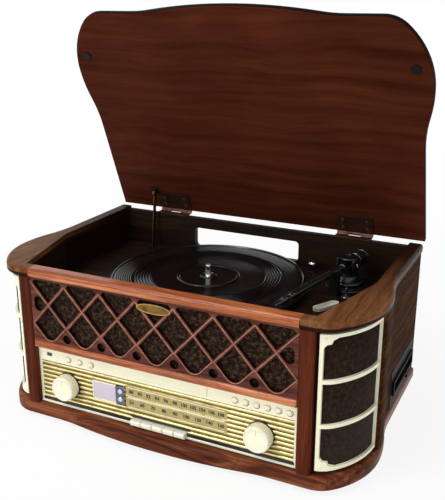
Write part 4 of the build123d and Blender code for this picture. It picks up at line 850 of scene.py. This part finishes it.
knobValues = {          # profiles run from the knob's or the collar's rim, outwards and up
    "flutes": 40, "fluteRadius": 0.0007, "fluteStart": 0.0028, "fluteEnd": 0.0018, "fluteSteps": 8,
    "rimProfile": ((-0.0008, -0.001), (-0.0006, -0.0002), (-0.0012, 0.0004), (-0.0019, 0.0005)),
    "rim": 0.0026, "dish": 0.0007, "dishTop": 0.0002, "dishShares": (1.0, 0.8, 0.6, 0.4, 0.2, 0.0),
    "pointerHalf": 0.0005, "pointerGap": 0.0006, "pointerHeights": (-0.0004, 0.0001), "pointerEdge": 0.0001,
    "pointerStart": 0.42,       # of the knob's radius
    # the collar is a black ring of painted shadow round the knob's foot
    "collar": 0.0182, "shadowRingProfile": ((0.0, -0.0003), (0.0, 0.0005), (-0.0008, 0.0010)), "steps": 96,
}


def addKnob(node):
    v = knobValues
    low, high = boxOf(node)
    centre = (low + high) / 2
    radius = (high.x - low.x) / 2
    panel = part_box("reeded_panel")[0][1]
    front = facing((centre.x, low.y, centre.z), (0, -1, 0))
    dish = radius - v["rim"]
    face = [(0.0, -sunk)] + [(radius + out, up) for out, up in v["rimProfile"]]
    face += [(dish * s, v["dishTop"] - v["dish"] * (1 - s * s)) for s in v["dishShares"]]
    addPiece(node + "Face", turnedMesh([face], front, v["steps"]), "keyPlastic", node)
    depth = panel - low.y - v["fluteEnd"]
    flute = beadMesh([(0, 0, v["fluteStart"]), (0, 0, depth)], v["fluteRadius"], steps=v["fluteSteps"])
    spots = [((centre.x + radius * cos(t), low.y, centre.z + radius * sin(t)), (0, 1, 0))
             for t in (2 * pi * i / v["flutes"] for i in range(v["flutes"]))]
    addCopies(node + "Flutes", flute, spots, "creamPlastic", node)
    bottom, top = v["pointerHeights"]
    pointer = ((-v["pointerHalf"], radius * v["pointerStart"], bottom),
               (v["pointerHalf"], dish - v["pointerGap"], top))
    addPiece(node + "Pointer", blocksMesh([pointer], v["pointerEdge"], front), "pointerPaint", node)
    # a black ring of painted shadow where the knob meets the panel
    inner = radius - sunk
    collar = [(v["collar"] + out, up) for out, up in v["shadowRingProfile"]]
    collar = [(inner, collar[0][1]), *collar, (inner, collar[-1][1])]
    place = facing((centre.x, panel, centre.z), (0, -1, 0))
    addPiece(node + "Collar", turnedMesh([collar], place, v["steps"]), "blackPlastic")


addKnob("volume_knob")
addKnob("tuning_knob")
print("knobs")


matValues = {
    "rimWidth": 0.0035, "rimSlope": 0.0014, "edge": (0.0006, 0.0004), "beforeRibs": 0.0016, "steps": 180,
    "deepInner": 0.080, "deepOuter": 0.104,     # m, the band of deep ribs
    "deepRib": (0.0040, 0.0013), "fineRib": (0.0030, 0.00035),      # m apart, m high
    "ribProfile": ((0.0, 0.0), (0.32, 0.8), (0.5, 1.0), (0.68, 0.8)),   # shares of the pitch and the height
    "labelRadius": 0.042, "afterRibs": 0.005, "beadHeight": 0.0014, "beadHalf": 0.0024,
    "boss": (0.012, 0.0105, 0.0002), "holeRadius": 0.0042,
}


def matProfile(low, high, radius):
    # a recessed label area, a bead, fine ribs, a band of deep ribs, fine ribs again and a raised rim
    v = matValues
    floor = high - v["beadHeight"]
    inside = radius - v["rimWidth"]
    hole, bead, half = v["holeRadius"], v["labelRadius"], v["beadHalf"]
    across, down = v["edge"]
    points = [(hole, low), (radius, low), (radius, high - down), (radius - across, high), (inside, high),
              (inside - v["rimSlope"], floor)]
    for outer, inner, (pitch, height) in (
            (inside - v["rimSlope"] - v["beforeRibs"], v["deepOuter"], v["fineRib"]),
            (v["deepOuter"], v["deepInner"], v["deepRib"]),
            (v["deepInner"], bead + v["afterRibs"], v["fineRib"])):
        while outer - pitch >= inner - 1e-6:
            points += [(outer - share * pitch, floor + rise * height) for share, rise in v["ribProfile"]]
            outer -= pitch
    points += [(bead + share * half, floor + rise * v["beadHeight"])
               for share, rise in ((1, 0.0), (0.5, 0.8), (0, 1.0), (-0.5, 0.8), (-1, 0.0))]
    foot, head, dip = v["boss"]
    return points + [(foot, floor), (head, high - dip), (hole + across, high - dip), (hole, floor)]


matLow, matHigh = boxOf("platter_mat")
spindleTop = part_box("platter")[1][2]
spindle = Matrix.Translation(((matLow.x + matHigh.x) / 2, (matLow.y + matHigh.y) / 2, 0))
ribbed = matProfile(matLow.z, matHigh.z, (matHigh.x - matLow.x) / 2)
recordMat = addPiece("recordMat", turnedMesh([ribbed], spindle, matValues["steps"]), "matRubber", "platter")
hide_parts("platter_mat")
spindleValues = {       # radius and height, from the mat's face and from the spindle's top
    "sleeveFoot": ((0.0, -0.002), (0.0038, -0.002)),
    "sleeveTop": ((0.0038, -0.0022), (0.0031, -0.0008), (0.0016, 0.0002), (0.0, 0.0004)),
    "washer": ((0.0038, -0.0006), (0.0092, -0.0006), (0.0092, -0.0001), (0.0078, 0.0003), (0.0038, 0.0003)),
}


def raised(profile, height):
    return [(radius, height + up) for radius, up in profile]


sleeve = raised(spindleValues["sleeveFoot"], matHigh.z) + raised(spindleValues["sleeveTop"], spindleTop)
addPiece("spindleSleeve", turnedMesh([sleeve], spindle, steps=48), "chromePlate", "platter")
addPiece("spindleWasher", turnedMesh([raised(spindleValues["washer"], matHigh.z)], spindle),
         "chromePlate", "platter")


armValues = {           # m from the pivot: ahead along the arm, to its left and up
    # profiles of radius and height, upwards for cap and tower, ahead along the arm for weight and collars
    "pivotDrop": 0.011, "angle": radians(11),       # how far the resting arm points inwards
    "cheekReach": 0.0095, "cheekSides": (0.0106, 0.0138), "cheekHeights": (-0.0075, 0.0095),
    "cheekEdge": 0.0009,
    "cap": ((0.0, 0.0085), (0.0135, 0.0085), (0.0145, 0.0095), (0.0145, 0.0108), (0.0131, 0.0122),
            (0.0105, 0.0130), (0.0042, 0.0130), (0.0040, 0.0125), (0.0, 0.0125)),
    "pinHead": (0.0030, 0.0010, 0.0005),
    "towerHead": ((0.0172, -0.0166), (0.0158, -0.0146), (0.0, -0.0146)),
    # these two are measured from the deck board instead
    "towerFoot": ((0.0, 0.004), (0.0235, 0.004), (0.0235, 0.0115), (0.0223, 0.0130), (0.0188, 0.0140)),
    "towerTrim": ((0.0225, 0.0046), (0.0251, 0.0046), (0.0251, 0.0062), (0.0225, 0.0066)),
    "weightDial": ((0.0036, -0.0168), (0.010, -0.0168), (0.0114, -0.0178), (0.0114, -0.0210),
                   (0.0106, -0.0216), (0.0036, -0.0216)),
    "weightHoop": ((0.0088, -0.0412), (0.0106, -0.0412), (0.0113, -0.0404), (0.0113, -0.0382),
                   (0.0088, -0.0382)),
    "collars": ((0.014, 0.0052), (0.150, 0.0046), (0.168, 0.0046)), "collarInner": 0.0032,
    "collarLength": 0.004, "collarSlope": 0.001,
    "shells": ((0.0460, 0.1480), (0.1560, 0.1660)), "shellHalf": 0.0048, "shellHeights": (-0.0031, 0.0039),
    "shellEdge": 0.0016,
    "lift": ((0.216, -0.0085, -0.0022), (0.216, -0.0130, -0.0015), (0.217, -0.0175, 0.0010),
             (0.218, -0.0205, 0.0048)), "liftRadius": 0.0009,
    "screwPlace": (0.208, 0.005, -0.0014), "screwHead": (0.0016, 0.0006, 0.0003),
}


def addTonearm():
    v = armValues
    low, high = boxOf("tonearm_gimbal")
    pivot = Vector(((low.x + high.x) / 2, (low.y + high.y) / 2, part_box("tonearm")[1][2] - v["pivotDrop"]))
    ahead = Vector((-sin(v["angle"]), -cos(v["angle"]), 0))
    arm = Matrix.Translation(pivot) @ Matrix((
        (ahead.x, -ahead.y, 0, 0), (ahead.y, ahead.x, 0, 0), (0, 0, 1, 0), (0, 0, 0, 1)))
    along = arm @ facing((0, 0, 0), (1, 0, 0))
    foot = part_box("deck_board")[1][2] - pivot.z
    inner, outer = v["cheekSides"]
    bottom, top = v["cheekHeights"]
    cheeks = [((-v["cheekReach"], min(side * inner, side * outer), bottom),
               (v["cheekReach"], max(side * inner, side * outer), top)) for side in (-1, 1)]
    addPiece("gimbalCheeks", blocksMesh(cheeks, v["cheekEdge"], arm), "blackPlastic", "gimbal")
    pins = [(arm @ Vector((0, side * outer, 0)), arm.to_3x3() @ Vector((0, side, 0))) for side in (-1, 1)]
    addCopies("gimbalPins", crossHead(*v["pinHead"]), pins, "chromePlate", "gimbal")
    collars = [[(v["collarInner"], at), (wide, at), (wide, at + v["collarLength"]),
                (v["collarInner"], at + v["collarLength"] + v["collarSlope"])] for at, wide in v["collars"]]
    tower = [*raised(v["towerFoot"], foot), *v["towerHead"]]
    post = Matrix.Translation(pivot)
    for name, profiles, place, steps, finish, body in (
            ("gimbalCap", [v["cap"]], arm, 64, "pivotMetal", "gimbal"),
            ("armTower", [tower], post, 72, "blackPlastic", "cabinet"),
            ("towerTrim", [raised(v["towerTrim"], foot)], post, 72, "satinSteel", "cabinet"),
            ("weightDial", [v["weightDial"]], along, 64, "pivotMetal", "tonearm"),
            ("weightHoop", [v["weightHoop"]], along, 64, "chromePlate", "tonearm"),
            ("armCollars", collars, along, 40, "pivotMetal", "tonearm")):
        addPiece(name, turnedMesh(profiles, place, steps), finish, body)
    half = v["shellHalf"]
    bottom, top = v["shellHeights"]
    shells = [((start, -half, bottom), (stop, half, top)) for start, stop in v["shells"]]
    addPiece("armShell", blocksMesh(shells, v["shellEdge"], arm), "blackPlastic", "tonearm")
    lift = [arm @ Vector(point) for point in v["lift"]]
    addPiece("fingerLift", beadMesh(lift, v["liftRadius"], ahead), "chromePlate", "tonearm")
    x, y, z = v["screwPlace"]
    screws = [(arm @ Vector((x, side * y, z)), (0, 0, 1)) for side in (-1, 1)]
    addCopies("shellScrews", crossHead(*v["screwHead"]), screws, "satinSteel", "tonearm")


standValues = {         # places on the deck board, profiles of radius and height above it
    "adapterPlace": (0.098, 0.131), "cuePlace": (0.1745, 0.0515), "cueLean": (0.10, -0.16, 1),
    "adapterStub": ((0.0, 0.0), (0.0085, 0.0), (0.0085, 0.0016), (0.0046, 0.0030), (0.0040, 0.0105),
                    (0.0, 0.0105)),
    "singlesAdapter": ((0.0, 0.0105), (0.0050, 0.0105), (0.0056, 0.0112), (0.0056, 0.0140),
                       (0.0046, 0.0158), (0.0028, 0.0170), (0.0, 0.0173)),
    "cueBoss": ((0.0, 0.0), (0.0080, 0.0), (0.0080, 0.0030), (0.0066, 0.0046), (0.0030, 0.0052),
                (0.0, 0.0052)),
    "cueLever": ((0.0, 0.004), (0.0017, 0.004), (0.0017, 0.014), (0.0030, 0.015), (0.0034, 0.018),
                 (0.0026, 0.020), (0.0, 0.0203)),
}


def addStands():
    # the adapter for large-hole singles on its stub, and the cueing lever beside the arm
    v = standValues
    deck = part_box("deck_board")[1][2]
    adapter, cue = (Matrix.Translation((*v[place], deck)) for place in ("adapterPlace", "cuePlace"))
    leaning = facing((*v["cuePlace"], deck), v["cueLean"])
    for name, place, steps, finish in (
            ("adapterStub", adapter, 48, "blackPlastic"), ("singlesAdapter", adapter, 48, "chromePlate"),
            ("cueBoss", cue, 48, "blackPlastic"), ("cueLever", leaning, 32, "chromePlate")):
        addPiece(name, turnedMesh([v[name]], place, steps), finish)


addTonearm()
addStands()
print("record deck")


hingeValues = {
    "middle": 0.027, "screwStep": 0.018,        # m in from a leaf's outer end, and to each side of that
    "cabinetScrew": 0.006, "above": 0.30,       # m behind the leaf's front, and a height clear of it
    "lidScrews": (0.229, 0.241), "head": (0.0026, 0.0008, 0.0004),
}
rivetValues = {
    "inset": 0.0058, "barInset": 0.0023,        # m from the frame's lower and upper edge
    "frontPlace": 0.2145, "rearInset": 0.0045,  # m to the side on the front, m before the frame's rear end
    "clear": 0.4,
    "profile": ((0.0, -0.0004), (0.0019, -0.0004), (0.0019, 0.0002), (0.0013, 0.0008), (0.0, 0.0010)),
}


def addHingeScrews():
    v = hingeValues
    low, high = boxOf("cabinet_hinge_leaves")
    columns = [hinge + step for hinge in (low.x + v["middle"], high.x - v["middle"])
               for step in (-v["screwStep"], v["screwStep"])]
    onCabinet = [surfaceSpot("cabinet_hinge_leaves", (x, low.y + v["cabinetScrew"], v["above"]), (0, 0, -1))
                 for x in columns]
    onLid = [surfaceSpot("lid_hinge_leaves", (x, 0.0, z), (0, 1, 0)) for x in columns for z in v["lidScrews"]]
    head = crossHead(*v["head"])
    addCopies("cabinetHingeScrews", head, onCabinet, "hingeScrew")
    addCopies("lidHingeScrews", head, onLid, "hingeScrew", "lid")


def addGrilleRivets():
    v = rivetValues
    spots = []
    for side, node in ((-1, "left_grille_frame"), (1, "right_grille_frame")):
        low, high = boxOf(node)
        for edge, inwards in ((low.z, 1), (high.z, -1)):
            onFront = (side * v["frontPlace"], -v["clear"], edge + inwards * v["inset"])
            onSide = (side * v["clear"], high.y - v["rearInset"], edge + inwards * v["barInset"])
            spots += [surfaceSpot(node, onFront, (0, 1, 0)), surfaceSpot(node, onSide, (-side, 0, 0))]
    addCopies("grilleRivets", turnedMesh([v["profile"]], steps=20), spots, "creamPlastic")


rearValues = {          # places in m to the side, heights from the floor
    "socketPlaces": (-0.099, -0.083, -0.067, -0.051), "socketHeight": 0.0411,
    "insulator": ((0.0019, -0.002), (0.0041, -0.002), (0.0041, 0.0009), (0.0037, 0.0013), (0.0019, 0.0013)),
    "inletPlace": 0.054, "inletHalf": (0.0118, 0.0074), "inletLip": 0.0022,
    "inletStand": 0.0034, "inletFloor": 0.0013, "inletEdge": 0.0004,
    "pinStep": 0.0043, "pin": ((0.0, 0.0), (0.0013, 0.0), (0.0013, 0.0016), (0.00065, 0.0021), (0.0, 0.0022)),
    "screwPlaces": [(x, z) for x in (-0.222, -0.12, 0.12, 0.222) for z in (0.036, 0.205)]
                   + [(-0.222, 0.12), (0.222, 0.12)],
    "screwHead": (0.0036, 0.0014, 0.0006), "clear": 0.1,
}


def addRearFittings():
    v = rearValues
    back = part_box("rear_panel")[1][1]
    spots = [surfaceSpot("rear_panel", (x, back + v["clear"], z), (0, -1, 0)) for x, z in v["screwPlaces"]]
    addCopies("rearScrews", crossHead(*v["screwHead"]), spots, "satinSteel")
    middle, level, lip = v["inletPlace"], v["socketHeight"], v["inletLip"]
    wide, tall = v["inletHalf"]
    collar = [((middle + left, back - sunk, level + bottom), (middle + right, back + stand, level + top))
              for left, right, bottom, top, stand in (
                  (-wide, wide, -tall, lip - tall, v["inletStand"]),
                  (-wide, wide, tall - lip, tall, v["inletStand"]),
                  (-wide, lip - wide, -tall, tall, v["inletStand"]),
                  (wide - lip, wide, -tall, tall, v["inletStand"]),
                  (sunk - wide, wide - sunk, sunk - tall, tall - sunk, v["inletFloor"]))]
    addPiece("inletCollar", blocksMesh(collar, v["inletEdge"]), "blackPlastic")
    onBack = lambda x: ((x, back + sunk, level), (0, 1, 0))
    pins = [onBack(middle + side * v["pinStep"]) for side in (-1, 1)]
    addCopies("inletPins", turnedMesh([v["pin"]], steps=20), pins, "chromePlate")
    insulator = turnedMesh([v["insulator"]], steps=32)
    sockets = [onBack(x) for x in v["socketPlaces"]]
    addCopies("socketRings", insulator, sockets[::2], "keyPlastic")
    addCopies("socketRingsRed", insulator, sockets[1::2], "redPlastic")


addHingeScrews()
addGrilleRivets()
addRearFittings()
print("screws and rivets")


studio = {
    "white": "#ffffff", "worldStrength": 0.5, "floorSize": 8.0, "aim": (0, 0, 0.2),
    "glowNear": 0.87, "nearReach": 0.5, "farReach": 1.5,        # the floor's white grows away from the part
    "lamps": (      # place, size in m, power in W
        ("keyLamp", (-0.9, -1.3, 2.7), 0.9, 36.0),
        ("fillLamp", (-1.2, -2.4, 0.8), 0.9, 15.0),
        ("sideLamp", (2.0, -1.6, 0.9), 1.0, 5.5)),
    "cameraPlace": (0.4438, -0.89033, 0.5545), "azimuth": radians(25.83), "elevation": radians(18.44),
    "lens": 54.97, "sensor": 36.0,
}


def whereSeen(add):
    # 1 for a ray that sees the backdrop straight, in a reflection or through glass
    path = add("LightPath").outputs
    mirrored = add("Math", {0: path["Is Camera Ray"], 1: path["Is Glossy Ray"]}, operation="MAXIMUM")
    return add("Math", {0: mirrored, 1: path["Is Transmission Ray"]}, operation="MAXIMUM")


def addFloor():
    bpy.ops.mesh.primitive_plane_add(size=studio["floorSize"])
    floor = bpy.context.object
    floor.name = "studioFloor"
    # matt paint, white from edge to edge but for the part's soft shadow
    material, add, surface, place = newMaterial("matt white backdrop", **{
        "Roughness": 0.9, "Base Color": toLinear(studio["white"])})
    share = add("MapRange", {
        "Value": add("VectorMath", {0: place}, operation="LENGTH"), "From Min": studio["nearReach"],
        "From Max": studio["farReach"], "To Min": studio["glowNear"], "To Max": 1.0})
    seen = add("Math", {0: share, 1: whereSeen(add)}, operation="MULTIPLY")
    paint, output = (material.node_tree.nodes[name] for name in ("Principled BSDF", "Material Output"))
    add("MixShader", {0: seen, 1: paint, 2: add("Emission")}, output.inputs["Surface"])
    floor.data.materials.append(material)


def addLamp(name, place, size, power):
    data = bpy.data.lights.new(name, "AREA")
    data.energy = power
    data.size = size
    lamp = newObject(name, data)
    lamp.location = place
    lamp.rotation_euler = (Vector(studio["aim"]) - Vector(place)).to_track_quat("-Z", "Y").to_euler()


def addWorld():
    world = bpy.data.worlds.new("studio")
    bpy.context.scene.world = world
    world.use_nodes = True
    background = world.node_tree.nodes["Background"].inputs
    background["Color"].default_value = toLinear(studio["white"])
    add = partial(addNode, world.node_tree)
    add("MapRange", {"Value": whereSeen(add), "To Min": studio["worldStrength"], "To Max": 1.0},
        background["Strength"])


def addCamera():
    data = bpy.data.cameras.new("camera")
    data.lens = studio["lens"]
    data.sensor_width = studio["sensor"]
    camera = newObject("camera", data)
    turn, rise = studio["azimuth"], studio["elevation"]
    ahead = Vector((-sin(turn) * cos(rise), cos(turn) * cos(rise), -sin(rise)))
    camera.location = studio["cameraPlace"]
    camera.rotation_euler = ahead.to_track_quat("-Z", "Y").to_euler()
    bpy.context.scene.camera = camera


addFloor()
for lamp in studio["lamps"]:
    addLamp(*lamp)
addWorld()
addCamera()
bpy.context.scene.view_settings.view_transform = "Standard"
print("studio ready")
